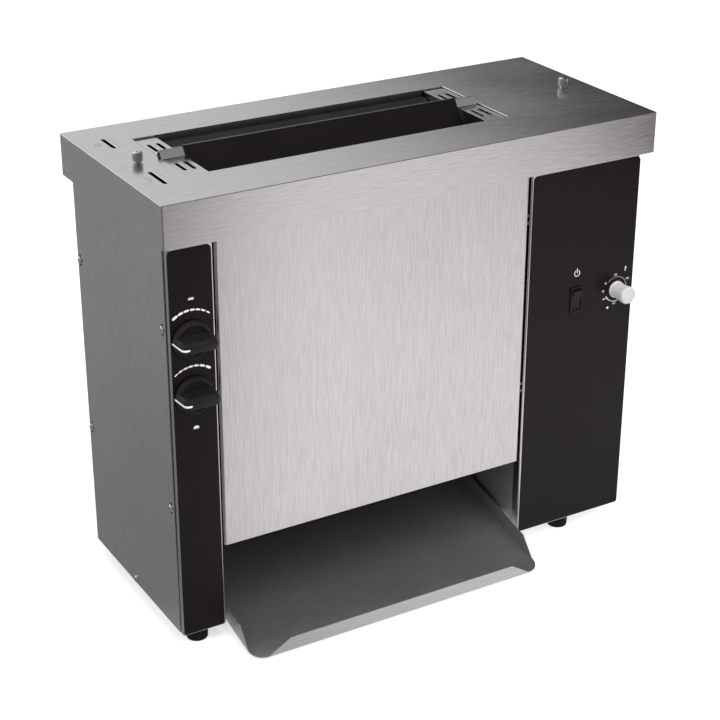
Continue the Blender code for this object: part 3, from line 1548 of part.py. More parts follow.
def make_cam_shaft(name, drop, face, sign):
    """Adjuster shaft from the dial, with the ramp that pushes the arm outwards"""
    rise = cam_rise(drop)
    centre = (DIAL_X, down(drop))
    pin = rise + CAM_PEAK_GAP + FIT
    low_level = face + ARM_SHEET + pin if sign < 0 else face - pin
    base = low_level - sign * CAM_BASE
    cam = make_cam(name, centre, base, low_level, rise)
    support_back = deep(SUPPORT_DEPTH) + SUPPORT_SHEET
    if sign < 0:
        end = support_back + SHAFT_END_PROUD
        collar_low = base - CAM_BASE / 2
        collar_high = deep(SUPPORT_DEPTH) - FIT
    else:
        end = low_level
        collar_low = support_back + FIT
        collar_high = base + CAM_BASE / 2
    profile = [
        (0, FRONT - DIAL_DISC),
        (DIAL_SHAFT_RADIUS, FRONT - DIAL_DISC),
        (DIAL_SHAFT_RADIUS, end),
        (0, end),
    ]
    shaft = turned(name + "_shaft", profile, "Y", centre, 12)
    ring = circle(centre, CAM_HUB_RADIUS, 12)
    collar = prism(name + "_collar", [ring], "Y", collar_low, collar_high)
    fuse(cam, shaft, collar)
    pivot(cam, (DIAL_X, FRONT, down(drop)))


def make_dial(name, drop):
    """Round dial with a tapered grip bar, its pointer end to the left"""
    centre = (DIAL_X, down(drop))
    rear = FRONT - FIT
    front = rear - DIAL_DISC
    steps = 24
    profile = [
        (DIAL_SHAFT_RADIUS + FIT, rear),
        (DIAL_RADIUS, rear),
        (DIAL_RADIUS, rear - DIAL_RIM),
        (DIAL_DOME_RADIUS, front),
        (DIAL_SHAFT_RADIUS + FIT, front),
    ]
    dial = turned(name, profile, "Y", centre, steps, BLACK_PLASTIC)
    deep_end = rear - DIAL_RIM
    rings = []
    for length, width, level in (
        (GRIP_LENGTH, GRIP_WIDTH, deep_end),
        (GRIP_NECK_LENGTH, GRIP_NECK_WIDTH, rear - GRIP_NECK_HEIGHT),
        (GRIP_TOP_LENGTH, GRIP_TOP_WIDTH, rear - GRIP_HEIGHT),
    ):
        half = length / 2
        reach = width / 2
        outline = rounded_rectangle(
            centre[0] - half, centre[1] - reach, centre[0] + half, centre[1] + reach, reach - FIT, 3
        )
        rings.append([(x, level, z) for x, z in outline])
    grip = lofted(name + "_grip", rings)
    fuse(dial, grip)
    bore_end = FRONT - DIAL_DISC - FIT
    bore = drill(name + "_bore", "Y", centre, DIAL_SHAFT_RADIUS + FIT, bore_end + OVERRUN, rear)
    cut(dial, bore)
    pivot(dial, (centre[0], FRONT, centre[1]))


def make_bushes():
    """Flanged bushes that carry the drive shafts in both chamber walls"""
    bore = SHAFT_RADIUS + FIT
    for side, wall, sign in (("left", CHAMBER_LEFT, -1), ("right", CHAMBER_RIGHT, 1)):
        outside = wall + sign * (PANEL_SHEET + FIT)
        profile = [
            (bore, wall),
            (BUSH_RADIUS, wall),
            (BUSH_RADIUS, outside),
            (BUSH_FLANGE_RADIUS, outside),
            (BUSH_FLANGE_RADIUS, outside + sign * BUSH_FLANGE),
            (bore, outside + sign * BUSH_FLANGE),
        ]
        for conveyor, place in zip(("crown", "heel"), shaft_places()):
            name = conveyor + "_" + side + "_bush"
            turned(name, profile, "X", place, 14, BRASS)


# Drive


def gear_outline(teeth, centre, phase):
    """Straight-flanked teeth, phased so that a tooth or a gap faces the mating gear"""
    pitch_radius = GEAR_MODULE * teeth / 2
    tip = pitch_radius + GEAR_MODULE * TOOTH_TIP_SHARE
    root = pitch_radius - GEAR_MODULE * TOOTH_ROOT_SHARE
    pitch = 2 * math.pi / teeth
    points = []
    for i in range(teeth):
        middle = phase + pitch * i
        for radius, share in (
            (root, -TOOTH_ROOT_WIDTH_SHARE),
            (tip, -TOOTH_TIP_WIDTH_SHARE),
            (tip, TOOTH_TIP_WIDTH_SHARE),
            (root, TOOTH_ROOT_WIDTH_SHARE),
        ):
            angle = middle + pitch * share
            points.append(
                (centre[0] + radius * math.cos(angle), centre[1] + radius * math.sin(angle))
            )
    return points


def make_drive_gear(name, sign):
    """A gear on the drive shaft's tail; the rear one is turned by half a tooth"""
    centre = conveyor_point(sign, 0.0, 0.0)
    phase = 0.0 if sign < 0 else math.pi + math.pi / GEAR_TEETH
    bore = circle(centre, SHAFT_RADIUS + FIT, 16)
    gear = prism(
        name, [gear_outline(GEAR_TEETH, centre, phase), bore], "X", GEAR_LEFT, GEAR_RIGHT, GALVANISED
    )
    hub = prism(
        name + "_hub",
        [circle(centre, GEAR_HUB_RADIUS, 16), bore],
        "X",
        GEAR_LEFT + GEAR_WIDTH / 2,
        GEAR_RIGHT + GEAR_HUB_LENGTH,
    )
    fuse(gear, hub)
    pivot(gear, (GEAR_LEFT, *centre))


def pinion_place():
    """The pinion sits straight above the crown gear"""
    centre = conveyor_point(-1, 0.0, 0.0)
    return (centre[0], centre[1] + GEAR_DISTANCE)


def make_motor_pinion():
    centre = pinion_place()
    phase = -math.pi / 2
    pinion = prism(
        "motor_pinion",
        [gear_outline(PINION_TEETH, centre, phase)],
        "X",
        GEAR_LEFT,
        GEAR_RIGHT,
        POLISHED,
    )
    end = GEARBOX_LEFT + GEARBOX_WIDTH / 2
    shaft = prism(
        "pinion_shaft",
        [circle(centre, MOTOR_SHAFT_RADIUS, 16)],
        "X",
        GEAR_RIGHT - GEAR_WIDTH / 2,
        end - FIT,
    )
    fuse(pinion, shaft)
    pivot(pinion, (GEAR_LEFT, *centre))


def make_gear_motor():
    """Gearbox and motor on four posts that stand on the right wall"""
    y, z = pinion_place()
    low_y = y - GEARBOX_DEPTH / 2
    low_z = z - GEARBOX_BELOW
    high_y = low_y + GEARBOX_DEPTH
    high_z = low_z + GEARBOX_HEIGHT
    right = GEARBOX_LEFT + GEARBOX_WIDTH
    outline = rounded_rectangle(low_y, low_z, high_y, high_z, POST_INSET)
    motor = prism("gear_motor", [outline], "X", GEARBOX_LEFT, right, ALUMINIUM)
    can_centre = (y, high_z - MOTOR_RADIUS - POST_INSET)
    can = prism(
        "motor_can", [circle(can_centre, MOTOR_RADIUS, 24)], "X", right - POST_RADIUS, right + MOTOR_LENGTH
    )
    bore = drill(
        "motor_bore",
        "X",
        (y, z),
        MOTOR_SHAFT_RADIUS + FIT,
        GEARBOX_LEFT,
        GEARBOX_LEFT + GEARBOX_WIDTH / 2 - OVERRUN,
    )
    wall = CHAMBER_RIGHT + PANEL_SHEET + FIT
    fuse(motor, can)
    for post_y in (low_y + POST_INSET, high_y - POST_INSET):
        post = prism(
            "motor_post",
            [circle((post_y, high_z - POST_INSET), POST_RADIUS, 10)],
            "X",
            wall,
            GEARBOX_LEFT + POST_RADIUS,
        )
        fuse(motor, post)
    cut(motor, bore)


# Tray and chute


def make_tray():
    """Discharge tray: a floor, two side flanges and a turned-up lip, then sloped"""
    middle = (TRAY_LEFT + TRAY_RIGHT) / 2
    bottom = down(TRAY_FRONT_DROP)
    floor = bottom + TRAY_SHEET
    back = deep(TRAY_BACK)
    fold = deep(-TRAY_FOLD)
    corners = rectangle(TRAY_LEFT, fold, TRAY_RIGHT, back)
    outline = rounded(corners, [TRAY_FOLD_INSET, TRAY_FOLD_INSET, 0, 0], 6)
    tray = prism("tray", [outline], "Z", bottom, floor, BRUSHED)
    shape = [
        (back, bottom + TRAY_SHEET / 2),
        (back, bottom + TRAY_FLANGE),
        (deep(-TRAY_CHAMFER_TOP), bottom + TRAY_FLANGE),
        (deep(-TRAY_CHAMFER_FOOT), bottom + TRAY_SHEET / 2),
    ]
    for left in (TRAY_LEFT, TRAY_RIGHT - TRAY_SHEET):
        fuse(tray, prism("tray_flange", [shape], "X", left, left + TRAY_SHEET))
    front = CAP_FRONT - TRAY_REACH
    lip_top = bottom + TRAY_LIP_HEIGHT
    vertices = []
    for thickness in (0.0, TRAY_SHEET):
        vertices += [
            (middle - TRAY_FOLD_HALF, fold + thickness, bottom),
            (middle + TRAY_FOLD_HALF, fold + thickness, bottom),
            (middle + TRAY_LIP_HALF, front + thickness, lip_top),
            (middle - TRAY_LIP_HALF, front + thickness, lip_top),
        ]
    faces = [(0, 1, 2, 3), (4, 7, 6, 5), (0, 4, 5, 1), (1, 5, 6, 2), (2, 6, 7, 3), (3, 7, 4, 0)]
    fuse(tray, solid("tray_lip", vertices, faces))
    settle(tray)
    slope_to_tray(tray)


def tray_rail(wall, side):
    """An angle on a chamber wall that the tray rests on"""
    level = down(TRAY_FRONT_DROP) - FIT
    face = wall - side * PANEL_SHEET / 2
    path = [
        (face, level + RAIL_HEIGHT),
        (face, level - PANEL_SHEET),
        (wall + side * RAIL_WIDTH, level - PANEL_SHEET),
    ]
    outline = sheet_outline(path, side * PANEL_SHEET, 0)
    rail = prism("tray_rail", [outline], "Y", deep(RAIL_FRONT), deep(RAIL_BACK))
    return slope_to_tray(rail)


def make_chute_deflector():
    """A sloping sheet that guides both halves forward onto the tray"""
    top_y = BULKHEAD_BACK - FIT
    path = [
        (top_y, down(DEFLECTOR_TOP_DROP) + DEFLECTOR_HOOK),
        (top_y, down(DEFLECTOR_TOP_DROP)),
        (deep(DEFLECTOR_FOOT_DEPTH), down(DEFLECTOR_FOOT_DROP)),
    ]
    outline = sheet_outline(path, -PANEL_SHEET, BEND)
    prism(
        "chute_deflector", [outline], "X", CHAMBER_LEFT + FIT, CHAMBER_RIGHT - FIT, BRUSHED
    )


# Controls on the right column


def rocker_pivot():
    return (FRONT + ROCKER_PIVOT_DEPTH, down(SWITCH_DROP))


def make_switch():
    """Bezel and body of the power switch, hollow for its rocker"""
    front = FRONT - FIT
    bezel = prism(
        "switch_housing", [switch_ring(0.0)], "Y", front - BEZEL_PROUD, front, BLACK_PLASTIC
    )
    body = prism(
        "switch_body", [switch_ring(BEZEL_RIM / 2)], "Y", front - FIT, front + SWITCH_DEPTH
    )
    hollow = prism(
        "switch_hollow",
        [switch_ring(BEZEL_RIM)],
        "Y",
        front - BEZEL_PROUD - OVERRUN,
        front + SWITCH_DEPTH - BEZEL_RIM,
    )
    fuse(bezel, body)
    cut(bezel, hollow)


def make_rocker():
    """Rocker with two flats that meet in a shallow valley, resting tipped"""
    pivot_y, pivot_z = rocker_pivot()
    half = BEZEL_HEIGHT / 2 - BEZEL_RIM - ROCKER_GAP
    width = BEZEL_WIDTH / 2 - BEZEL_RIM - FIT
    face = ROCKER_PIVOT_DEPTH + BEZEL_PROUD / 2
    tip = face + half * math.tan(ROCKER_TILT)
    shape = [(-tip, half), (-face, 0.0), (-tip, -half), (0.0, -half), (ROCKER_BACK, 0.0), (0.0, half)]
    cosine = math.cos(ROCKER_TILT)
    sine = math.sin(ROCKER_TILT)
    outline = [
        (pivot_y + y * cosine - z * sine, pivot_z + y * sine + z * cosine) for y, z in shape
    ]
    rocker = prism(
        "power_rocker", [outline], "X", SWITCH_X - width, SWITCH_X + width, BLACK_PLASTIC
    )
    pivot(rocker, (SWITCH_X, pivot_y, pivot_z))


def make_temperature_knob():
    """Knurled barrel with a base flange and a rounded nose, on its spindle"""
    centre = (KNOB_X, down(KNOB_DROP))
    rear = FRONT - FIT
    nose = rear - KNOB_LENGTH
    spindle_end = rear + SPINDLE_LENGTH
    corner = KNOB_ROUND * KNOB_ROUND_SHARE
    profile = [
        (0, spindle_end),
        (SPINDLE_RADIUS, spindle_end),
        (SPINDLE_RADIUS, rear - KNOB_FLANGE),
        (KNOB_SOCKET_RADIUS, rear - KNOB_FLANGE),
        (KNOB_SOCKET_RADIUS, rear),
        (KNOB_FLANGE_RADIUS, rear),
        (KNOB_FLANGE_RADIUS, rear - KNOB_FLANGE),
        (KNOB_RADIUS, rear - KNOB_FLANGE - KNOB_TAPER),
        (KNOB_RADIUS, nose + KNOB_NOSE_LENGTH + KNOB_TAPER),
        (KNOB_NOSE_RADIUS, nose + KNOB_NOSE_LENGTH),
        (KNOB_NOSE_RADIUS, nose + KNOB_ROUND),
        (KNOB_NOSE_RADIUS - corner, nose + corner),
        (KNOB_NOSE_RADIUS - KNOB_ROUND, nose),
        (0, nose),
    ]
    knob = turned("temperature_knob", profile, "Y", centre, 20, WHITE_METAL)
    pivot(knob, (centre[0], FRONT, centre[1]))


def make_potentiometer():
    """Ring body behind the column front, with a bush through its hole"""
    centre = (KNOB_X, down(KNOB_DROP))
    face = COLUMN_FACE + PANEL_SHEET + FIT
    bore = SPINDLE_RADIUS + FIT
    profile = [
        (bore, FRONT),
        (POT_BUSH_RADIUS, FRONT),
        (POT_BUSH_RADIUS, face),
        (POT_RADIUS, face),
        (POT_RADIUS, face + POT_LENGTH),
        (bore, face + POT_LENGTH),
    ]
    turned("temperature_potentiometer", profile, "Y", centre, 16, GALVANISED)


# Electrics in the right column


def make_control_board():
    """Board on standoffs against the right side, with its larger components"""
    outer = SIDE_X - PANEL_SHEET - FIT
    right = outer - BOARD_STANDOFF
    left = right - BOARD_SHEET
    front = deep(BOARD_FRONT)
    top = down(BOARD_TOP_DROP)
    bottom = top - BOARD_HEIGHT
    back = front + BOARD_DEPTH
    board = prism(
        "control_board", [rectangle(front, bottom, back, top)], "X", left, right, GREEN_BOARD
    )
    lap = BOARD_SHEET / 2
    pieces = []
    for y in (front + POST_INSET, back - POST_INSET):
        for z in (bottom + POST_INSET, top - POST_INSET):
            pieces.append(
                prism("standoff", [circle((y, z), STANDOFF_RADIUS, 8)], "X", right - lap, outer)
            )
    components = (
        (0.12, 0.16, 0.34, 0.52, TRANSFORMER_HEIGHT),
        (0.44, 0.18, 0.60, 0.40, CAPACITOR_HEIGHT),
        (0.70, 0.55, 0.90, 0.82, RELAY_HEIGHT),
    )
    for y0, z0, y1, z1, height in components:
        pieces.append(
            box(
                "component",
                (left - height, front + BOARD_DEPTH * y0, bottom + BOARD_HEIGHT * z0),
                (left + lap, front + BOARD_DEPTH * y1, bottom + BOARD_HEIGHT * z1),
            )
        )
    extras = gathered("board_parts", pieces, None)
    fuse(board, extras)


def inlet_outline(width, height):
    """The socket's outline: a rectangle whose two upper corners are cut"""
    x = RIGHT_COLUMN_MIDDLE
    z = down(INLET_DROP)
    return [
        (x - width, z - height),
        (x + width, z - height),
        (x + width, z + height - INLET_CORNER),
        (x + width - INLET_CORNER, z + height),
        (x - width + INLET_CORNER, z + height),
        (x - width, z + height - INLET_CORNER),
    ]


def make_power_inlet():
    """Three-pin inlet: a flange outside the back panel and a socket through it"""
    face = BACK_FACE + FIT
    x = RIGHT_COLUMN_MIDDLE
    z = down(INLET_DROP)
    flange = rounded_rectangle(
        x - INLET_WIDTH / 2, z - INLET_HEIGHT / 2, x + INLET_WIDTH / 2, z + INLET_HEIGHT / 2, POST_RADIUS
    )
    inlet = prism("power_inlet", [flange], "Y", face, face + INLET_FLANGE, BLACK_PLASTIC)
    half_width = INLET_BODY_WIDTH / 2
    half_height = INLET_BODY_HEIGHT / 2
    rear = face - INLET_BODY_DEPTH
    body = prism("inlet_body", [inlet_outline(half_width, half_height)], "Y", rear, face + FIT)
    well = prism(
        "inlet_well",
        [inlet_outline(half_width - INLET_WALL, half_height - INLET_WALL)],
        "Y",
        rear + INLET_WALL,
        face + INLET_FLANGE + OVERRUN,
    )
    fuse(inlet, body)
    cut(inlet, well)
    reach = INLET_PIN_WIDTH / 2
    tall = INLET_PIN_HEIGHT / 2
    for step in (-1, 0, 1):
        pin_x = x + step * INLET_PIN_PITCH
        pin_z = z + (INLET_PIN_HEIGHT / 2 if step == 0 else 0.0)
        pin = box(
            "inlet_pin",
            (pin_x - reach, rear + INLET_WALL / 2, pin_z - tall),
            (pin_x + reach, face - INLET_FLANGE, pin_z + tall),
        )
        fuse(inlet, pin)


# Feet


def make_feet():
    """Four rubber feet under the base pan's corners"""
    top = BASE_BOTTOM - FIT
    profile = [
        (0, top),
        (FOOT_RADIUS, top),
        (FOOT_RADIUS - FOOT_TAPER, 0.0),
        (0, 0.0),
    ]
    for side, x in (("left", LEFT_COLUMN_MIDDLE), ("right", RIGHT_COLUMN_MIDDLE)):
        for end, y in (("front", FOOT_FRONT), ("rear", FOOT_BACK)):
            name = "foot_" + side + "_" + end
            turned(name, profile, "Z", (x, deep(y)), 16, BLACK_RUBBER)


def main():
    clear_scene()
    make_top_cap()
    make_thumbscrew("cap_thumbscrew_left", -1)
    make_thumbscrew("cap_thumbscrew_right", 1)
    make_side_panel("left_side_panel", -1)
    make_side_panel("right_side_panel", 1)
    make_back_panel()
    make_base_pan()
    make_front_panel()
    make_columns()
    make_overlays()
    make_bulkheads()
    make_end_plates()
    make_release_sheet()
    make_sheet_saddle()
    make_platen()
    make_heating_element()
    make_platen_sensor()
    for side, sign in (("crown", -1), ("heel", 1)):
        make_belt(side + "_belt", sign)
        make_idler_roller(side + "_idler_roller", sign)
        make_drive_roller(side + "_drive_roller", sign)
        make_carriage(side + "_carriage", sign)
        make_pressure_plate(side + "_pressure_plate", sign)
        make_pressure_spring(side + "_pressure_spring", sign)
        make_drive_gear(side + "_drive_gear", sign)
    make_arm("crown_arm", crown_arm_y(), CROWN_DIAL_DROP, -1, (HEEL_DIAL_DROP, CROWN_DIAL_DROP))
    make_arm("heel_arm", heel_arm_y(), HEEL_DIAL_DROP, 1, ())
    make_cam_shaft("crown_cam_shaft", CROWN_DIAL_DROP, crown_arm_y(), -1)
    make_cam_shaft("heel_cam_shaft", HEEL_DIAL_DROP, heel_arm_y(), 1)
    make_dial("crown_dial", CROWN_DIAL_DROP)
    make_dial("heel_dial", HEEL_DIAL_DROP)
    make_bushes()
    make_motor_pinion()
    make_gear_motor()
    make_tray()
    make_chute_deflector()
    make_switch()
    make_rocker()
    make_temperature_knob()
    make_potentiometer()
    make_control_board()
    make_power_inlet()
    make_feet()


main()
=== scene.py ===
"""Looks for the vertical contact toaster.

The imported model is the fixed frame, in metres, +Z up and +Y to the back.
The file is laid out as a Blender add-on: each operator dresses or builds
one piece or one group of like pieces, and one more sets the stage.
"""
import math

import bmesh
import bpy
from bpy.props import FloatProperty, FloatVectorProperty, IntProperty, PointerProperty
from mathutils import Matrix, Vector


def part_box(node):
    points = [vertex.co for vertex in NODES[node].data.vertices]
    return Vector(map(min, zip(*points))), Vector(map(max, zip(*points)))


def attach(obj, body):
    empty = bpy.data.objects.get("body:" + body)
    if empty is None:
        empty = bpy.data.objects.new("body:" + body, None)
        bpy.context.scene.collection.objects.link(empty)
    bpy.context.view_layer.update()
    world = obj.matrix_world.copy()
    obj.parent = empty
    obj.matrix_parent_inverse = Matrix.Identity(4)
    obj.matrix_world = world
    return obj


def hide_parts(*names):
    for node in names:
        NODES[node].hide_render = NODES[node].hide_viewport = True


bl_info = {
    "name": "Contact Toaster Looks",
    "version": (1, 0, 0),
    "blender": (4, 5, 0),
    "location": "3D View > Sidebar > Toaster",
    "description": "Finishes and small pieces for a vertical contact toaster",
    "category": "Object",
}

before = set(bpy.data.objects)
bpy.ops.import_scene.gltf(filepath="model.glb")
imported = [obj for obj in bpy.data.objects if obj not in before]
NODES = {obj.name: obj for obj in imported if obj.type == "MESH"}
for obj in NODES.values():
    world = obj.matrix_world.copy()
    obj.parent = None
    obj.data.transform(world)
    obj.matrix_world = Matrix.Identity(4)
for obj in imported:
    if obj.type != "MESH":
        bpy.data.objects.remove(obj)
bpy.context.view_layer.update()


def middle(node):
    """The middle of a node's box"""
    low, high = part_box(node)
    return (low + high) / 2


# Places read from the frame
FACE_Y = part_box("left_control_overlay")[0].y
LEFT_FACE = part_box("left_side_panel")[0].x
RIGHT_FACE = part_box("right_side_panel")[1].x
BACK_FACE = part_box("back_panel")[1].y
CAP_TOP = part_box("top_cap")[1].z
DIAL_X = middle("heel_dial").x
DIAL_Z = {"heel": middle("heel_dial").z, "crown": middle("crown_dial").z}
KNOB_X = middle("temperature_knob").x
KNOB_Z = middle("temperature_knob").z

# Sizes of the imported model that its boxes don't give
CUTOUT_BACK = 0.098
SHEET_THICKNESS = 0.0013

# Thin marks start a little inside what they are printed or etched on
MARK_ROOT = -0.0002
INK_HEIGHT = 0.00012
ETCH_HEIGHT = 0.00004


# Sizes and colours that a user would change
class ToasterSteel(bpy.types.PropertyGroup):
    light: FloatVectorProperty(
        name="Light", description="Bright streaks of the brushed sheet", subtype="COLOR",
        default=(0.730, 0.722, 0.719),
    )
    dark: FloatVectorProperty(
        name="Dark", description="Dull streaks of the brushed sheet", subtype="COLOR",
        default=(0.520, 0.513, 0.510),
    )
    smooth: FloatProperty(
        name="Smoothest", description="Roughness of the shiniest streaks", default=0.15, min=0.05, max=1.0
    )
    rough: FloatProperty(
        name="Roughest", description="Roughness of the dullest streaks", default=0.24, min=0.05, max=1.0
    )
    fine: FloatProperty(
        name="Fine Lines", description="Streaks per metre across the brushing", default=1300.0, min=50.0
    )
    along: FloatProperty(
        name="Line Rate", description="Streaks per metre along the brushing", default=44.0, min=1.0
    )
    edge: FloatProperty(
        name="Edge", description="Width of the rounded sheet edges",
        default=0.0008, unit="LENGTH", precision=5,
    )


class ToasterControls(bpy.types.PropertyGroup):
    black: FloatVectorProperty(
        name="Black", description="Moulded dials and switch", subtype="COLOR",
        default=(0.0110, 0.0094, 0.0101),
    )
    film: FloatVectorProperty(
        name="Film", description="Printed overlays", subtype="COLOR", default=(0.0066, 0.0042, 0.0055)
    )
    ink: FloatVectorProperty(
        name="Ink", description="White marks on the overlays", subtype="COLOR", default=(0.90, 0.89, 0.90)
    )
    dash_radius: FloatProperty(
        name="Dash Radius", description="Radius of the row of dashes over a dial",
        default=0.0323, unit="LENGTH",
    )
    pointer_width: FloatProperty(
        name="Pointer Width", description="Width of the white line on a dial", default=0.0021, unit="LENGTH"
    )
    ring_radius: FloatProperty(
        name="Ring Radius", description="Radius of the scale line round the knob",
        default=0.0150, unit="LENGTH",
    )
    number_radius: FloatProperty(
        name="Number Radius", description="Radius at which the scale numbers stand",
        default=0.0178, unit="LENGTH",
    )
    number_height: FloatProperty(
        name="Number Height", description="Height of the scale numbers", default=0.0021, unit="LENGTH"
    )
    knurls: IntProperty(
        name="Knurls", description="Diamonds round the temperature knob", default=20, min=12, max=80
    )
    knurl_depth: FloatProperty(
        name="Knurl Depth", description="Depth of the diamond pattern",
        default=0.0013, unit="LENGTH", precision=5,
    )


class ToasterHardware(bpy.types.PropertyGroup):
    screw_radius: FloatProperty(
        name="Screw Radius", description="Radius of the pan heads on the panels",
        default=0.0042, unit="LENGTH",
    )
    screw_height: FloatProperty(
        name="Screw Height", description="Height of the pan heads", default=0.0022, unit="LENGTH"
    )
    thumb_knurls: IntProperty(
        name="Thumb Knurls", description="Flutes round a thumbscrew head", default=34, min=8, max=80
    )
    # The rod is light grey: a painted highlight along the top fold of the release sheet
    rod_radius: FloatProperty(
        name="Rod Radius", description="Radius of the rod in the fold of the release sheet",
        default=0.0007, unit="LENGTH", precision=5,
    )
    flange_drop: FloatProperty(
        name="Flange Drop", description="Depth of the folded flange behind the cap's cut-out",
        default=0.0062, unit="LENGTH", precision=5,
    )


class ToasterStage(bpy.types.PropertyGroup):
    eye: FloatVectorProperty(
        name="Camera Place", description="Where the camera stands", subtype="TRANSLATION", unit="LENGTH",
        default=(-0.94544, -1.58612, 1.11111),
    )
    yaw: FloatProperty(
        name="Yaw", description="Camera turn towards +X", default=math.radians(30.292), unit="ROTATION"
    )
    pitch: FloatProperty(
        name="Pitch", description="Camera tilt downwards", default=math.radians(25.193), unit="ROTATION"
    )
    roll: FloatProperty(
        name="Roll", description="Camera roll", default=math.radians(0.087), unit="ROTATION"
    )
    lens: FloatProperty(name="Lens", description="Focal length in millimetres", default=89.48, unit="CAMERA")
    floor_size: FloatProperty(name="Floor Size", description="Width of the floor", default=9.0, unit="LENGTH")
    key_power: FloatProperty(
        name="Key Light", description="Power of the front lamp", default=42.0, unit="POWER"
    )
    fill_power: FloatProperty(
        name="Fill Light", description="Power of the left lamp", default=24.0, unit="POWER"
    )
    top_power: FloatProperty(
        name="Top Light", description="Power of the lamp above", default=34.0, unit="POWER"
    )
    air: FloatProperty(
        name="World", description="Strength of the plain surround", default=0.42, min=0.0
    )
    floor_glow: FloatProperty(
        name="Floor Glow", description="Whiteness added to the floor", default=0.60, min=0.0
    )


class ToasterLooks(bpy.types.PropertyGroup):
    steel: PointerProperty(type=ToasterSteel)
    controls: PointerProperty(type=ToasterControls)
    hardware: PointerProperty(type=ToasterHardware)
    stage: PointerProperty(type=ToasterStage)


# Shader helpers
def add(tree, kind, **wanted):
    """A new shader node with its settings"""
    made = tree.nodes.new("ShaderNode" + kind)
    for key, value in wanted.items():
        setattr(made, key, value)
    return made


def feed(tree, source, target):
    """Link a socket to another, or set a plain value on it"""
    if isinstance(source, bpy.types.NodeSocket):
        tree.links.new(source, target)
    else:
        target.default_value = source


def calc(tree, operation, first, second=0.0):
    """The result of one sum on numbers"""
    step = add(tree, "Math", operation=operation)
    feed(tree, first, step.inputs[0])
    feed(tree, second, step.inputs[1])
    return step.outputs[0]


# Sockets of a Mix node for each kind of value: first, second and result
MIX_SOCKETS = {"FLOAT": (2, 3, 0), "VECTOR": (4, 5, 1), "RGBA": (6, 7, 2)}


def mix(tree, kind, share, first, second):
    """A value that goes from first to second as share goes from 0 to 1"""
    step = add(tree, "Mix", data_type=kind)
    start, end, result = MIX_SOCKETS[kind]
    feed(tree, share, step.inputs[0])
    feed(tree, first, step.inputs[start])
    feed(tree, second, step.inputs[end])
    return step.outputs[result]


def between(tree, share, first, second):
    return mix(tree, "FLOAT", share, first, second)


def split(tree, vector):
    """The three numbers of a vector"""
    step = add(tree, "SeparateXYZ")
    feed(tree, vector, step.inputs[0])
    return tuple(step.outputs)


def scaled(tree, vector, level):
    """A vector or colour times a number"""
    step = add(tree, "VectorMath", operation="SCALE")
    feed(tree, vector, step.inputs[0])
    feed(tree, level, step.inputs["Scale"])
    return step.outputs[0]


def stretched(tree, vector, scale):
    """A vector times another, axis by axis"""
    step = add(tree, "VectorMath", operation="MULTIPLY")
    feed(tree, vector, step.inputs[0])
    feed(tree, scale, step.inputs[1])
    return step.outputs[0]


def noise(tree, vector, scale, detail=2.0, roughness=0.5):
    """Cloudy noise about a half"""
    step = add(tree, "TexNoise")
    feed(tree, vector, step.inputs["Vector"])
    step.inputs["Scale"].default_value = scale
    step.inputs["Detail"].default_value = detail
    step.inputs["Roughness"].default_value = roughness
    return step.outputs[0]


def spread(tree, value, low, high):
    """Stretch the middle of a noise to the whole range from 0 to 1"""
    step = add(tree, "MapRange", clamp=True)
    feed(tree, value, step.inputs[0])
    step.inputs[1].default_value = low
    step.inputs[2].default_value = high
    return step.outputs[0]


def smooth_share(tree, value, low, high, first=0.0, second=1.0):
    """A number that turns smoothly from first to second while value goes from low to high"""
    step = add(tree, "MapRange", clamp=True, interpolation_type="SMOOTHSTEP")
    feed(tree, value, step.inputs[0])
    for index, number in enumerate((low, high, first, second)):
        step.inputs[index + 1].default_value = number
    return step.outputs[0]


def ramp(tree, share, stops):
    """A colour ramp through stops of a position and a colour"""
    made = add(tree, "ValToRGB")
    feed(tree, share, made.inputs[0])
    cells = made.color_ramp.elements
    cells[0].position, cells[1].position = stops[0][0], stops[-1][0]
    cells[0].color, cells[1].color = (*stops[0][1], 1.0), (*stops[-1][1], 1.0)
    for position, colour in stops[1:-1]:
        cells.new(position).color = (*colour, 1.0)
    return made.outputs[0]


def by_ray(tree, plain, shown, mirrored, out):
    """Give light rays the plain shader, camera rays the shown one and glossy rays the mirrored one"""
    path = add(tree, "LightPath")
    first = add(tree, "MixShader")
    feed(tree, path.outputs["Is Camera Ray"], first.inputs[0])
    feed(tree, plain, first.inputs[1])
    feed(tree, shown, first.inputs[2])
    second = add(tree, "MixShader")
    glossy = calc(tree, "MAXIMUM", path.outputs["Is Glossy Ray"], path.outputs["Is Transmission Ray"])
    feed(tree, glossy, second.inputs[0])
    feed(tree, first.outputs[0], second.inputs[1])
    feed(tree, mirrored, second.inputs[2])
    feed(tree, second.outputs[0], out.inputs["Surface"])


SURFACE_INPUTS = (
    ("Place", "NodeSocketVector", None),
    ("Light", "NodeSocketColor", (0.6, 0.6, 0.6, 1.0)),
    ("Dark", "NodeSocketColor", (0.5, 0.5, 0.5, 1.0)),
    ("Smooth", "NodeSocketFloat", 0.3),
    ("Rough", "NodeSocketFloat", 0.5),
)
SURFACE_OUTPUTS = (
    ("Colour", "NodeSocketColor"),
    ("Roughness", "NodeSocketFloat"),
    ("Height", "NodeSocketFloat"),
)


def new_group(name, extra):
    """A surface group with its sockets, ready for its inner nodes"""
    tree = bpy.data.node_groups.new(name, "ShaderNodeTree")
    for label, kind, value in SURFACE_INPUTS + extra:
        socket = tree.interface.new_socket(name=label, in_out="INPUT", socket_type=kind)
        if value is not None:
            socket.default_value = value
    for label, kind in SURFACE_OUTPUTS:
        tree.interface.new_socket(name=label, in_out="OUTPUT", socket_type=kind)
    return tree, tree.nodes.new("NodeGroupInput").outputs, tree.nodes.new("NodeGroupOutput").inputs


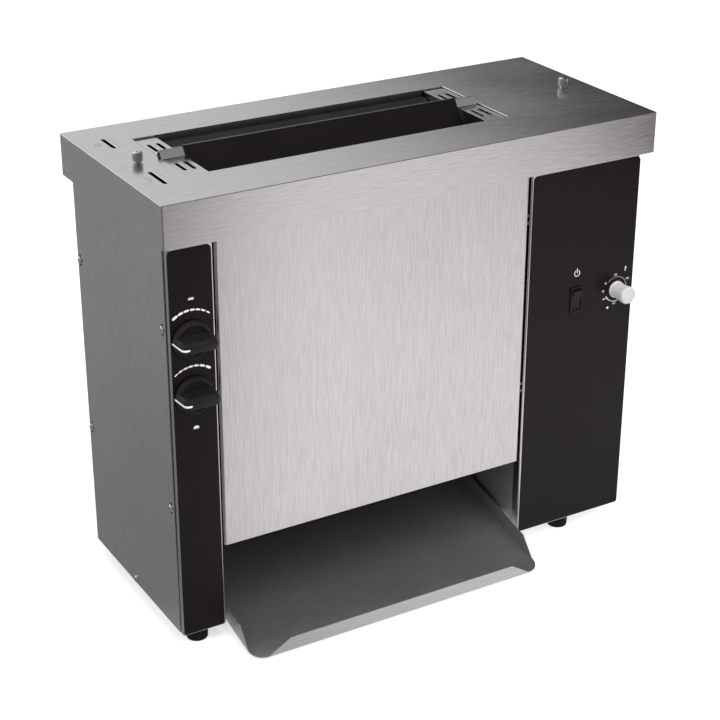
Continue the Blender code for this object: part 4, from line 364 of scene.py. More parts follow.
def finish_group(tree, given, out, lightness, dullness, height):
    """Turn the masks of a surface group into its colour, roughness and height"""
    feed(tree, mix(tree, "RGBA", lightness, given["Dark"], given["Light"]), out["Colour"])
    feed(tree, between(tree, dullness, given["Smooth"], given["Rough"]), out["Roughness"])
    feed(tree, height, out["Height"])


def brushed_group():
    """Long fine streaks with their own direction on the end faces of a sheet, and faint handling clouds"""
    tree, given, out = new_group(
        "Brushed Sheet",
        (
            ("Facing", "NodeSocketVector", None),
            ("Stretch", "NodeSocketVector", (16.0, 950.0, 950.0)),
            ("End Stretch", "NodeSocketVector", (950.0, 950.0, 16.0)),
        ),
    )
    sideways = calc(tree, "ABSOLUTE", split(tree, given["Facing"])[0])
    at_end = calc(tree, "GREATER_THAN", sideways, 0.7)
    rates = mix(tree, "VECTOR", at_end, given["Stretch"], given["End Stretch"])
    along = stretched(tree, given["Place"], rates)
    fine = spread(tree, noise(tree, along, 1.0, 2.0, 0.6), 0.30, 0.70)
    coarse = spread(tree, noise(tree, along, 0.45, 1.0, 0.5), 0.25, 0.75)
    cloud = spread(tree, noise(tree, given["Place"], 7.0, 3.0, 0.5), 0.30, 0.70)
    streak = between(tree, 0.10, fine, coarse)
    finish_group(tree, given, out, between(tree, 0.2, streak, cloud), between(tree, 0.5, streak, cloud), streak)
    return tree


def moulded_group():
    """Fine even grain with slow changes, for plastic, rubber and plain metal"""
    tree, given, out = new_group("Moulded Surface", (("Grain", "NodeSocketFloat", 1500.0),))
    place = scaled(tree, given["Place"], given["Grain"])
    grain = spread(tree, noise(tree, place, 1.0, 2.0, 0.5), 0.30, 0.70)
    cloud = spread(tree, noise(tree, given["Place"], 22.0, 3.0, 0.5), 0.30, 0.70)
    share = between(tree, 0.55, grain, cloud)
    finish_group(tree, given, out, share, share, grain)
    return tree


def film_group():
    """Printed film: very faint upright bands under a satin grain"""
    tree, given, out = new_group("Printed Film", (("Bands", "NodeSocketFloat", 90.0),))
    line = add(tree, "CombineXYZ")
    feed(tree, calc(tree, "MULTIPLY", split(tree, given["Place"])[0], given["Bands"]), line.inputs[0])
    band = spread(tree, noise(tree, line.outputs[0], 1.0, 3.0, 0.6), 0.25, 0.75)
    grain = spread(tree, noise(tree, given["Place"], 2600.0, 1.0, 0.5), 0.30, 0.70)
    finish_group(tree, given, out, band, between(tree, 0.5, band, grain), grain)
    return tree


def cloth_group():
    """Coated glass cloth: a plain weave that shows faintly through the coating"""
    tree, given, out = new_group("Coated Cloth", (("Threads", "NodeSocketFloat", 900.0),))
    x, _, z = split(tree, given["Place"])
    rate = calc(tree, "MULTIPLY", given["Threads"], math.pi)
    warp = calc(tree, "SINE", calc(tree, "MULTIPLY", x, rate))
    weft = calc(tree, "SINE", calc(tree, "MULTIPLY", z, rate))
    weave = calc(tree, "MULTIPLY_ADD", calc(tree, "MULTIPLY", warp, weft), 0.5)
    weave.node.inputs[2].default_value = 0.5
    cloud = spread(tree, noise(tree, given["Place"], 14.0, 4.0, 0.6), 0.30, 0.70)
    finish_group(tree, given, out, between(tree, 0.65, weave, cloud), cloud, weave)
    return tree


GROUPS = {}
PAINTS = {}


def paint(name, group, light, dark, smooth, rough, metallic, specular, bump, depth=0.00002, extra=None):
    """A Principled material fed by one of the surface groups, built once"""
    if name in PAINTS:
        return PAINTS[name]
    made = bpy.data.materials.new(name)
    made.use_nodes = True
    tree = made.node_tree
    shader = tree.nodes["Principled BSDF"]
    shader.inputs["Metallic"].default_value = metallic
    shader.inputs["Specular IOR Level"].default_value = specular
    place = add(tree, "TexCoord")
    surface = tree.nodes.new("ShaderNodeGroup")
    surface.node_tree = GROUPS[group]
    feed(tree, place.outputs["Object"], surface.inputs["Place"])
    if "Facing" in surface.inputs:
        feed(tree, place.outputs["Normal"], surface.inputs["Facing"])
    surface.inputs["Light"].default_value = (*light, 1.0)
    surface.inputs["Dark"].default_value = (*dark, 1.0)
    surface.inputs["Smooth"].default_value = smooth
    surface.inputs["Rough"].default_value = rough
    for key, value in (extra or {}).items():
        surface.inputs[key].default_value = value
    feed(tree, surface.outputs["Colour"], shader.inputs["Base Color"])
    feed(tree, surface.outputs["Roughness"], shader.inputs["Roughness"])
    if bump:
        relief = add(tree, "Bump")
        relief.inputs["Strength"].default_value = bump
        relief.inputs["Distance"].default_value = depth
        feed(tree, surface.outputs["Height"], relief.inputs["Height"])
        feed(tree, relief.outputs["Normal"], shader.inputs["Normal"])
    PAINTS[name] = made
    return made


def shade(colour, share):
    """A colour made darker or lighter"""
    return tuple(channel * share for channel in colour)


# For each line of brushing: the axis of its streaks, their axis on the end faces, and how fine they are
BRUSHING = {"X": (0, 1, 0.85), "Z": (2, 2, 0.95)}
END_FINENESS = 1.2


def steel_paint(name, line, level=1.0, duller=0.0, metal=1.0):
    """Brushed steel whose streaks run along one axis of the toaster"""
    steel = bpy.context.scene.toaster.steel
    axis, end_axis, fineness = BRUSHING[line]
    stretch = [steel.fine * fineness] * 3
    stretch[axis] = steel.along
    end_stretch = [steel.fine * END_FINENESS] * 3
    end_stretch[end_axis] = steel.along
    extra = {"Stretch": stretch, "End Stretch": end_stretch}
    light = shade(steel.light, level)
    dark = shade(steel.dark, level)
    smooth = steel.smooth + duller
    rough = steel.rough + duller
    return paint(name, "brushed", light, dark, smooth, rough, metal, 0.5, 0.12, 0.00003, extra)


# Finishes without brushing: light and dark colour or share of a control's colour, smoothest and roughest,
# metallic, specular level, bump and grains per metre
PLAIN_FINISHES = {
    "galvanised": ((0.50, 0.51, 0.52), (0.38, 0.39, 0.40), 0.38, 0.55, 1.0, 0.5, 0.1, 260.0),
    "polished": ((0.78, 0.77, 0.76), (0.66, 0.66, 0.66), 0.12, 0.24, 1.0, 0.5, 0.0, 900.0),
    "aluminium": ((0.62, 0.63, 0.64), (0.50, 0.51, 0.52), 0.35, 0.50, 1.0, 0.5, 0.1, 1500.0),
    # Light grey of the rod in the release sheet's fold: a painted highlight of the fold
    "dark_rod": ((0.20, 0.19, 0.195), (0.15, 0.145, 0.15), 0.40, 0.50, 0.6, 0.4, 0.0, 700.0),
    # Near black of the flange behind the cap's cut-out: painted shade under the cap's rear edge
    "dark_fold": ((0.040, 0.040, 0.040), (0.026, 0.026, 0.026), 0.34, 0.46, 0.3, 0.4, 0.0, 240.0),
    "satin_steel": ((0.48, 0.465, 0.465), (0.42, 0.405, 0.405), 0.36, 0.46, 0.9, 0.5, 0.1, 420.0),
    "brass": ((0.74, 0.55, 0.27), (0.62, 0.44, 0.20), 0.24, 0.38, 1.0, 0.5, 0.0, 1500.0),
    "black_plastic": (("black", 1.25), ("black", 0.95), 0.34, 0.46, 0.0, 0.27, 0.1, 1500.0),
    "switch_black": (("black", 1.05), ("black", 0.70), 0.40, 0.52, 0.0, 0.20, 0.1, 1500.0),
    "black_rubber": ((0.013, 0.013, 0.013), (0.007, 0.007, 0.007), 0.70, 0.85, 0.0, 0.2, 0.2, 1500.0),
    "belt": ((0.022, 0.022, 0.021), (0.013, 0.013, 0.013), 0.26, 0.40, 0.0, 0.5, 0.2, 700.0),
    "white_metal": ((0.64, 0.617, 0.626), (0.57, 0.547, 0.556), 0.32, 0.44, 0.0, 0.5, 0.0, 1500.0),
    "board": ((0.035, 0.180, 0.080), (0.020, 0.120, 0.050), 0.30, 0.45, 0.0, 0.5, 0.0, 1500.0),
    "ink": (("ink", 1.0), ("ink", 0.93), 0.45, 0.55, 0.0, 0.3, 0.0, 1500.0),
    # Near black: painted shade in the screw slots, and the dark lens's own black
    "recess": ((0.012, 0.012, 0.012), (0.004, 0.004, 0.004), 0.60, 0.80, 0.0, 0.2, 0.0, 1500.0),
    "etched": ((0.17, 0.17, 0.17), (0.10, 0.10, 0.10), 0.50, 0.65, 0.6, 0.3, 0.0, 1500.0),
}


def finish_colour(entry):
    """A colour as it is, or a share of one of the colours that the user sets for the controls"""
    if isinstance(entry[0], str):
        return shade(getattr(bpy.context.scene.toaster.controls, entry[0]), entry[1])
    return entry


def plain_paint(name):
    """A finish without brushing, by name"""
    light, dark, smooth, rough, metallic, specular, bump, grain = PLAIN_FINISHES[name]
    light, dark = finish_colour(light), finish_colour(dark)
    extra = {"Grain": grain}
    return paint(name, "moulded", light, dark, smooth, rough, metallic, specular, bump, extra=extra)


def film_paint():
    """Satin black of the printed overlays"""
    film = bpy.context.scene.toaster.controls.film
    light, dark = shade(film, 1.2), shade(film, 0.85)
    return paint("printed_film", "film", light, dark, 0.24, 0.34, 0.0, 0.17, 0.05, 0.00001)


def cloth_paint():
    """Dull black-brown of the coated release sheet"""
    light, dark = (0.0085, 0.0062, 0.0068), (0.0055, 0.0040, 0.0045)
    return paint("coated_cloth", "cloth", light, dark, 0.40, 0.60, 0.0, 0.12, 0.2)


# Mesh helpers
def piece(name, vertices, faces, finish, body, smooth=35.0):
    """A mesh of the visual model that rides on a body"""
    mesh = bpy.data.meshes.new(name)
    mesh.from_pydata([tuple(v) for v in vertices], [], [tuple(f) for f in faces])
    mesh.validate()
    mesh.update()
    if smooth:
        mesh.shade_smooth()
        mesh.set_sharp_from_angle(angle=math.radians(smooth))
    mesh.materials.append(finish)
    made = bpy.data.objects.new(name, mesh)
    bpy.context.scene.collection.objects.link(made)
    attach(made, body)
    return made


class Shape:
    """Vertices and faces gathered from several forms"""

    def __init__(self):
        self.vertices = []
        self.faces = []

    def join(self, vertices, faces):
        """Add one more form"""
        start = len(self.vertices)
        self.vertices += [Vector(v) for v in vertices]
        self.faces += [[start + i for i in face] for face in faces]
        return self

    def loft(self, rings, caps=True):
        """Closed rings of equal count, joined in order and capped at both ends"""
        count = len(rings[0])
        points = [p for ring in rings for p in ring]
        faces = []
        for start in range(0, len(points) - count, count):
            for i in range(count):
                j = (i + 1) % count
                faces.append((start + i, start + j, start + count + j, start + count + i))
        if caps:
            faces.append(tuple(range(count))[::-1])
            faces.append(tuple(range(len(points) - count, len(points))))
        return self.join(points, faces)

    def turn(self, rows, place, out, steps, start=None):
        """Rings about an axis: each row is a radius, or a function of the step, and a height along it"""
        axis = Vector(out).normalized()
        first = axis.orthogonal().normalized() if start is None else start
        second = axis.cross(first)
        spokes = []
        for k in range(steps):
            angle = 2 * math.pi * k / steps
            spokes.append(first * math.cos(angle) + second * math.sin(angle))
        rings = []
        for radius, along in rows:
            ring = []
            for k, spoke in enumerate(spokes):
                reach = radius(k) if callable(radius) else max(radius, 1e-6)
                ring.append(Vector(place) + spoke * reach + axis * along)
            rings.append(ring)
        return self.loft(rings)

    def slab(self, outline, low, high, spot):
        """An outline raised from low to high; spot turns (u, v, height) into a place"""
        return self.loft([[spot(u, v, level) for u, v in outline] for level in (low, high)])

    def mark(self, outline):
        """A thin printed mark on the front overlays"""
        return self.slab(outline, MARK_ROOT, INK_HEIGHT, on_face)

    def build(self, name, finish, body, slot=None, smooth=35.0):
        """Make the gathered forms one piece"""
        made = piece(name, self.vertices, self.faces, finish, body, smooth)
        tidy_normals(made)
        return made

    def printed(self, name):
        """Build the marks in white ink on the housing"""
        return self.build(name, plain_paint("ink"), "housing", "white_metal", 0)


def tidy_normals(made):
    """Merge doubled points and turn every face outwards"""
    work = bmesh.new()
    work.from_mesh(made.data)
    bmesh.ops.remove_doubles(work, verts=work.verts, dist=1e-7)
    bmesh.ops.recalc_face_normals(work, faces=work.faces)
    work.to_mesh(made.data)
    work.free()


def on_face(u, v, height):
    """A place on the front overlays, raised towards the viewer"""
    return Vector((u, FACE_Y - height, v))


def on_cap(u, v, height):
    """A place on the top of the cap"""
    return Vector((u, v, CAP_TOP + height))


def polar(centre, radius, angle):
    """The point at an angle in degrees on a circle"""
    turn = math.radians(angle)
    return centre[0] + radius * math.cos(turn), centre[1] + radius * math.sin(turn)


def arc_points(centre, radius, start, end, steps):
    """Points along an arc between two angles in degrees"""
    return [polar(centre, radius, start + (end - start) * k / steps) for k in range(steps + 1)]


def shifted(outline, u, v):
    """An outline moved to its place"""
    return [(point[0] + u, point[1] + v) for point in outline]


def stroke(path, widths, ends=6):
    """The outline of a line of given widths with round ends"""
    points = [Vector(p) for p in path]
    if not hasattr(widths, "__len__"):
        widths = [widths] * len(points)
    left, right = [], []
    for i, here in enumerate(points):
        back = points[max(i - 1, 0)]
        ahead = points[min(i + 1, len(points) - 1)]
        run = (ahead - back).normalized()
        side = Vector((-run.y, run.x)) * (widths[i] / 2)
        left.append(here + side)
        right.append(here - side)
    outline = list(right)
    for centre, first, after in ((points[-1], right[-1], left[::-1]), (points[0], left[0], [])):
        for k in range(1, ends):
            turned = first - centre
            turned.rotate(Matrix.Rotation(math.pi * k / ends, 2))
            outline.append(centre + turned)
        outline += after
    return [tuple(p) for p in outline]


def ring_band(centre, radius, width, start, end, steps):
    """The outline of a line along an arc"""
    return stroke(arc_points(centre, radius, start, end, steps), width)


def rounded_box(half_u, half_v, radius, steps=6):
    """A rectangle about the origin with rounded corners"""
    outline = []
    radius = min(radius, half_u, half_v)
    for index, (su, sv) in enumerate(((1, 1), (-1, 1), (-1, -1), (1, -1))):
        corner = (su * (half_u - radius), sv * (half_v - radius))
        outline += arc_points(corner, radius, 90 * index, 90 * index + 90, steps)
    return outline


SHARP_ANGLE = 32.0


def soften(nodes, width, segments=2, clamp=True):
    """Round the sharp edges of CAD nodes as real sheet edges are"""
    for thing in (NODES[node] for node in nodes):
        weld = thing.modifiers.new("Weld", "WELD")
        weld.merge_threshold = 1e-6
        bevel = thing.modifiers.new("Edge", "BEVEL")
        bevel.width = width
        bevel.segments = segments
        bevel.use_clamp_overlap = clamp
        bevel.limit_method = "ANGLE"
        bevel.angle_limit = math.radians(SHARP_ANGLE)
        bevel.miter_outer = "MITER_ARC"
        evened = thing.modifiers.new("Even", "WEIGHTED_NORMAL")
        evened.keep_sharp = False


def dress(nodes, finish):
    """Give CAD nodes a finish"""
    for thing in (NODES[node] for node in nodes):
        thing.data.materials.clear()
        thing.data.materials.append(finish)


# Operators: finishes of the CAD pieces
class TOASTER_OT_surface_groups(bpy.types.Operator):
    """Build the shader groups that the finishes share"""

    bl_idname = "toaster.surface_groups"
    bl_label = "Surface Groups"

    def execute(self, context):
        GROUPS["brushed"] = brushed_group()
        GROUPS["moulded"] = moulded_group()
        GROUPS["film"] = film_group()
        GROUPS["cloth"] = cloth_group()
        return {"FINISHED"}


class TOASTER_OT_steel_panels(bpy.types.Operator):
    """Brushed steel on the cap, panels, tray and chute, each with its own direction of brushing"""

    bl_idname = "toaster.steel_panels"
    bl_label = "Steel Panels"

    def execute(self, context):
        edge = context.scene.toaster.steel.edge
        end_plates = ("left_end_plate", "right_end_plate")
        side_panels = ("left_side_panel", "right_side_panel")
        front_sheets = ("front_panel", "left_column_front", "right_column_front")
        dress(("top_cap", *end_plates), steel_paint("brushed_steel_across", "X"))
        dress((*front_sheets, *side_panels, "back_panel"), steel_paint("brushed_steel_upright", "Z"))
        dress(("tray",), steel_paint("brushed_steel_tray", "X", 0.94, 0.12, 0.89))
        inside = steel_paint("brushed_steel_inside", "Z", 0.90, 0.12, 0.75)
        dress(("left_bulkhead", "right_bulkhead", "chute_deflector"), inside)
        dress(("sheet_saddle",), plain_paint("satin_steel"))
        soften(("top_cap",), edge, 3, clamp=False)
        soften(("sheet_saddle", "tray", *side_panels), edge * 0.5)
        soften((*front_sheets, *end_plates), edge * 0.3)
        return {"FINISHED"}


INNER_FINISHES = {
    "galvanised": (
        "base_pan", "heating_element", "crown_carriage", "heel_carriage", "crown_arm", "heel_arm",
        "crown_drive_gear", "heel_drive_gear", "temperature_potentiometer",
    ),
    "polished": ("crown_pressure_spring", "heel_pressure_spring", "motor_pinion"),
    "aluminium": (
        "platen_front_half", "platen_rear_half", "crown_pressure_plate", "heel_pressure_plate", "gear_motor",
    ),
    "brass": (
        "platen_sensor", "crown_left_bush", "crown_right_bush", "heel_left_bush", "heel_right_bush",
        "crown_cam_shaft", "heel_cam_shaft",
    ),
    "belt": (
        "crown_belt", "heel_belt", "crown_idler_roller", "heel_idler_roller", "crown_drive_roller",
        "heel_drive_roller",
    ),
    "board": ("control_board",),
    "switch_black": ("switch_housing", "power_rocker", "power_inlet"),
}
CLOTH_EDGE, SWITCH_EDGE, CASTING_EDGE = 0.0002, 0.0003, 0.0005


class TOASTER_OT_inner_works(bpy.types.Operator):
    """Finishes of the drive, conveyors, platen, adjusters and electrics"""

    bl_idname = "toaster.inner_works"
    bl_label = "Inner Works"

    def execute(self, context):
        for finish, nodes in INNER_FINISHES.items():
            dress(nodes, plain_paint(finish))
        dress(("release_sheet",), cloth_paint())
        soften(("release_sheet",), CLOTH_EDGE)
        soften(INNER_FINISHES["switch_black"], SWITCH_EDGE, 3)
        soften(("platen_front_half", "platen_rear_half", "gear_motor"), CASTING_EDGE)
        return {"FINISHED"}


class TOASTER_OT_overlays(bpy.types.Operator):
    """Satin black printed film on the two control columns"""

    bl_idname = "toaster.overlays"
    bl_label = "Overlays"

    def execute(self, context):
        dress(("left_control_overlay", "right_control_overlay"), film_paint())
        return {"FINISHED"}


# Operators: controls
# Radius and height of the dial's plate
DIAL_PROFILE = (
    (0.0040, 0.0003), (0.0212, 0.0003), (0.0215, 0.0007), (0.0215, 0.0022), (0.0213, 0.0031),
    (0.0207, 0.0042), (0.0198, 0.0054), (0.0189, 0.0064), (0.0182, 0.0069), (0.0177, 0.0070),
    (0.0172, 0.0068), (0.0160, 0.0063), (0.0120, 0.0059), (0.0, 0.0058),
)
# Half length, half width and height of the grip bar
GRIP_RINGS = (
    (0.0213, 0.0084, 0.0030), (0.0212, 0.0083, 0.0050), (0.0211, 0.0079, 0.0066), (0.0210, 0.0075, 0.0080),
    (0.0208, 0.0071, 0.0120), (0.0205, 0.0067, 0.0170), (0.0203, 0.0065, 0.0190), (0.0200, 0.0062, 0.0206),
    (0.0194, 0.0056, 0.0220), (0.0186, 0.0049, 0.0229), (0.0175, 0.0040, 0.0235), (0.0162, 0.0030, 0.0238),
)
GRIP_CORNER = 0.0050
# The pointer's distance from the dial's middle and its height, below and beyond its climb up the grip
POINTER_FOOT = ((0.0216, 0.0004), (0.0216, 0.0022), (0.0214, 0.0030))
POINTER_TIP = ((0.0160, 0.0238), (0.0142, 0.0238), (0.0126, 0.0238))
CLIMB_START, CLIMB_END = 0.0040, 0.0237
POINTER_LIFT, POINTER_END_SHARE = 0.00010, 0.55
DIAL_STEPS = 96


def dial_pointer(z, width):
    """The white line that climbs the grip's left end and turns over onto its front"""
    climb = [(half, height) for half, side, height in GRIP_RINGS if CLIMB_START < height < CLIMB_END]
    path = [*POINTER_FOOT, *climb, *POINTER_TIP]
    rings = []
    for i, (half, height) in enumerate(path):
        run = (Vector(path[min(i + 1, len(path) - 1)]) - Vector(path[max(i - 1, 0)])).normalized()
        reach = width / 2 * (POINTER_END_SHARE if i in (0, len(path) - 1) else 1.0)
        ring = []
        for side, level in ((-1, -1), (1, -1), (1, 1), (-1, 1)):
            lift = level * POINTER_LIFT
            out, up = half + abs(run.y) * lift, height + abs(run.x) * lift
            ring.append(on_face(DIAL_X - out, z + side * reach, up))
        rings.append(ring)
    return Shape().loft(rings)


class TOASTER_OT_dials(bpy.types.Operator):
    """The two adjuster dials with their grip bars and white pointers"""

    bl_idname = "toaster.dials"
    bl_label = "Dials"

    def execute(self, context):
        width = context.scene.toaster.controls.pointer_width
        for name in ("crown", "heel"):
            z, body = DIAL_Z[name], name + "_adjuster"
            shape = Shape().turn(DIAL_PROFILE, (DIAL_X, FACE_Y, z), (0, -1, 0), DIAL_STEPS)
            rings = []
            for half, side, height in GRIP_RINGS:
                outline = rounded_box(half, side, min(GRIP_CORNER, side), 8)
                rings.append([on_face(DIAL_X + u, z + v, height) for u, v in outline])
            shape.loft(rings)
            dial = shape.build(name + "_dial_body", plain_paint("black_plastic"), body, "black_plastic", 40)
            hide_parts(name + "_dial")
            dial_pointer(z, width).build(name + "_dial_pointer", plain_paint("ink"), body, "white_metal", 50)
        return {"FINISHED"}


DASH_SHARES = (1.0, 0.90, 0.80, 0.72, 0.65, 0.58, 0.50)
DASH_ANGLES = {
    "heel": (122.6, 110.0, 98.0, 86.3, 75.3, 64.5, 53.6),
    "crown": (125.0, 115.0, 104.6, 94.4, 83.1, 70.8, 58.0),
}
DASH_WIDTH, DASH_LENGTH = 0.0027, 0.0057
HEEL_SIGN = (DIAL_X + 0.0010, 0.4101)
CROWN_SIGN = (DIAL_X + 0.0012, 0.2677)


class TOASTER_OT_dial_marks(bpy.types.Operator):
    """Seven dashes over each dial, and a plain picture of the bun half that it sets"""

    bl_idname = "toaster.dial_marks"
    bl_label = "Dial Marks"

    def execute(self, context):
        radius = context.scene.toaster.controls.dash_radius
        for name, order in (("heel", 1), ("crown", -1)):
            shape = Shape()
            for angle, share in zip(DASH_ANGLES[name], DASH_SHARES[::order]):
                width = DASH_WIDTH * share
                length = DASH_LENGTH * (0.45 + 0.55 * share) - width * 0.7
                half = math.degrees(length / 2 / radius)
                shape.mark(ring_band((DIAL_X, DIAL_Z[name]), radius, width, angle - half, angle + half, 6))
            shape.printed(name + "_dashes")
        u, v = HEEL_SIGN
        heel = Shape().mark(shifted(rounded_box(0.0030, 0.0007, 0.0006, 5), u, v))
        heel.mark(level_line(u, v + 0.0016, 0.0028, 0.0003)).printed("heel_picture")
        u, v = CROWN_SIGN
        crown = Shape().mark(shifted(bun_dome(0.0032, 0.0026), u, v))
        crown.mark(level_line(u, v - 0.0019, 0.0030, 0.0005)).printed("crown_picture")
        return {"FINISHED"}


def level_line(u, v, half, width):
    """The outline of a short level line"""
    return stroke([(u - half, v), (u + half, v)], width)


def bun_dome(half, height):
    """Outline of a bun's domed upper half about the origin"""
    outline = [(-half, -height / 2), (half, -height / 2)]
    for k in range(1, 16):
        turn = math.pi * k / 16
        outline.append((half * math.cos(turn), height * math.sin(turn) ** 0.8 - height / 2))
    return outline


POWER_SIGN = (0.2112, 0.3388)
POWER_RADIUS, POWER_LINE = 0.0036, 0.0008


class TOASTER_OT_power_marks(bpy.types.Operator):
    """The power symbol over the rocker"""

    bl_idname = "toaster.power_marks"
    bl_label = "Power Marks"

    def execute(self, context):
        u, v = POWER_SIGN
        symbol = Shape().mark(ring_band(POWER_SIGN, POWER_RADIUS, POWER_LINE, 122, 418, 40))
        symbol.mark(stroke([(u, v + 0.0004), (u, v + 0.0056)], POWER_LINE)).printed("power_symbol")
        return {"FINISHED"}


SCALE_NUMBERS = ((94.0, "200"), (32.0, "300"), (-31.0, "400"), (-94.6, "500"), (-149.5, "600"))
NUMBER_SPREAD = 0.0012
DIGIT_SHARE, DIGIT_DEPTH = 0.7, 0.0001
SCALE_START, SCALE_END, SCALE_STEPS = 137.0, -150.0, 48
SCALE_WIDTH, SCALE_SWELL, SCALE_POWER = 0.00014, 0.0012, 2.6
# Two round signs on the circle of numbers: angle, radius, line width and the ends of the ring
OFF_SIGN = (178.0, 0.00115, 0.00042, 0.0, 352.0, 24)
WAIT_SIGN = (146.6, 0.00110, 0.00036, 130.0, 410.0, 20)
THERMOMETER = (0.2801, 0.3290)
PILOT_LENS = (0.2577, FACE_Y, 0.2863)
PILOT_PROFILE = (
    (0.0, -0.0004), (0.0015, -0.0004), (0.0015, 0.0003), (0.0013, 0.0006), (0.0008, 0.0009), (0.0, 0.0010),
)
DARK_LENS = (0.2588, FACE_Y, 0.3276)
DARK_PROFILE = (
    (0.0, -0.0004), (0.0017, -0.0004), (0.0017, 0.0002), (0.0013, 0.0002), (0.0010, 0.00005), (0.0, 0.00005),
)
LENS_STEPS = 32


def digits(text, height, centre):
    """Plain numbers as flat outlines in the plane of the overlay"""
    curve = bpy.data.curves.new("digits", "FONT")
    curve.body = text
    curve.size = height / DIGIT_SHARE
    curve.align_x = "CENTER"
    curve.align_y = "CENTER"
    curve.extrude = DIGIT_DEPTH
    thing = bpy.data.objects.new("digits", curve)
    bpy.context.scene.collection.objects.link(thing)
    bpy.context.view_layer.update()
    mesh = bpy.data.meshes.new_from_object(thing.evaluated_get(bpy.context.evaluated_depsgraph_get()))
    lift = INK_HEIGHT - DIGIT_DEPTH
    vertices = [on_face(centre[0] + v.co.x, centre[1] + v.co.y, v.co.z + lift) for v in mesh.vertices]
    faces = [list(face.vertices) for face in mesh.polygons]
    bpy.data.objects.remove(thing, do_unlink=True)
    return vertices, faces


class TOASTER_OT_temperature_marks(bpy.types.Operator):
    """The scale line, numbers and small symbols round the temperature knob"""

    bl_idname = "toaster.temperature_marks"
    bl_label = "Temperature Marks"

    def execute(self, context):
        controls = context.scene.toaster.controls
        centre = (KNOB_X, KNOB_Z)
        far = controls.number_radius
        path = arc_points(centre, controls.ring_radius, SCALE_START, SCALE_END, SCALE_STEPS)
        widths = [SCALE_WIDTH + SCALE_SWELL * (k / SCALE_STEPS) ** SCALE_POWER for k in range(SCALE_STEPS + 1)]
        Shape().mark(stroke(path, widths)).printed("scale_line")
        numbers = Shape()
        for angle, text in SCALE_NUMBERS:
            reach = far + NUMBER_SPREAD * abs(math.cos(math.radians(angle)))
            numbers.join(*digits(text, controls.number_height, polar(centre, reach, angle)))
        numbers.printed("scale_numbers")
        symbols = Shape()
        for angle, *ring in (OFF_SIGN, WAIT_SIGN):
            symbols.mark(ring_band(polar(centre, far, angle), *ring))
        wait = polar(centre, far, WAIT_SIGN[0])
        symbols.mark(stroke([wait, (wait[0], wait[1] + 0.0016)], WAIT_SIGN[2]))
        u, v = THERMOMETER
        symbols.mark(shifted(rounded_box(0.0010, 0.0010, 0.0010, 5), u, v))
        symbols.mark(stroke([(u, v), (u, v + 0.0042)], 0.0009))
        for level in (0.0018, 0.0028, 0.0038):
            symbols.mark(stroke([(u + 0.0010, v + level), (u + 0.0019, v + level)], 0.0003))
        symbols.printed("scale_symbols")
        lens = Shape().turn(PILOT_PROFILE, PILOT_LENS, (0, -1, 0), LENS_STEPS)
        lens.build("pilot_lens", plain_paint("ink"), "housing", "white_metal", 40)
        spot = Shape().turn(DARK_PROFILE, DARK_LENS, (0, -1, 0), LENS_STEPS)
        spot.build("dark_lens", plain_paint("recess"), "housing", "black_plastic", 30)
        return {"FINISHED"}


# Radius and height of the knob's flange, the heights of its grip, and its nose
KNOB_FLANGE = (
    (0.0068, 0.0), (0.0096, 0.0), (0.0101, 0.0005), (0.0101, 0.0019), (0.0098, 0.0025), (0.0091, 0.0032),
)
KNOB_GRIP_RADIUS = 0.0084
KNOB_GRIP = (0.0036, 0.0172)
KNOB_NOSE = (
    (0.0093, 0.0176), (0.0099, 0.0180), (0.0103, 0.0186), (0.0104, 0.0196), (0.0104, 0.0216),
    (0.0102, 0.0228), (0.0097, 0.0238), (0.0090, 0.0245), (0.0080, 0.0249), (0.0071, 0.0250),
    (0.0068, 0.0247), (0.0065, 0.0247), (0.0062, 0.0250), (0.0042, 0.0250), (0.0039, 0.0247),
    (0.0036, 0.0247), (0.0033, 0.0250),
)
KNOB_GAP = 0.0003
# Steps in one diamond, the radius at which diamonds are as high as wide, and how fast they fade at both ends
KNURL_POINTS, KNURL_RADIUS, KNURL_FADE = 8, 0.009, 14


def knurl(turn_share, along_share):
    """Height of a diamond pattern, from 0 in its grooves to 1 on its points"""
    first = abs(((turn_share + along_share) % 1.0) - 0.5) * 2
    second = abs(((turn_share - along_share) % 1.0) - 0.5) * 2
    return min(first, second) ** 0.8


def knurled_radius(row, depth):
    """The radius of each step of one row of the knob's grip"""
    def radius(step):
        return KNOB_GRIP_RADIUS + depth * knurl(step / KNURL_POINTS, row / KNURL_POINTS)

    return radius


class TOASTER_OT_temperature_knob(bpy.types.Operator):
    """The pale knob with its diamond grip between a flange and a rounded nose"""

    bl_idname = "toaster.temperature_knob"
    bl_label = "Temperature Knob"

    def execute(self, context):
        controls = context.scene.toaster.controls
        count, depth = controls.knurls, controls.knurl_depth
        low, high = KNOB_GRIP
        rows = round((high - low) / (2 * math.pi * KNURL_RADIUS / count)) * KNURL_POINTS
        profile = list(KNOB_FLANGE)
        for j in range(rows + 1):
            share = j / rows
            fade = depth * min(1.0, KNURL_FADE * share, KNURL_FADE * (1 - share))
            profile.append((knurled_radius(j, fade), low + (high - low) * share))
        profile += KNOB_NOSE
        place = (KNOB_X, FACE_Y - KNOB_GAP, KNOB_Z)
        shape = Shape().turn(profile, place, (0, -1, 0), count * KNURL_POINTS, Vector((1, 0, 0)))
        knob = shape.build("knurled_knob", plain_paint("white_metal"), "knob", "white_metal", 42)
        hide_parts("temperature_knob")
        return {"FINISHED"}


# Operators: hardware
# Share of the screw's radius and of its height
PAN_PROFILE = ((1.0, -0.1), (1.0, 0.25), (0.96, 0.48), (0.86, 0.72), (0.70, 0.90), (0.52, 1.0))
CROSS_ARM, CROSS_WAIST, CROSS_FLOOR = 0.50, 0.221, 0.30
CROSS_WIDTH, CROSS_TAPER = 0.30, 0.55
SCREW_STEPS = 40
SIDE_SCREWS = ((-0.0777, 0.3765), (-0.0777, 0.1715), (0.1370, 0.3765), (0.1370, 0.1715), (0.0300, 0.0261))
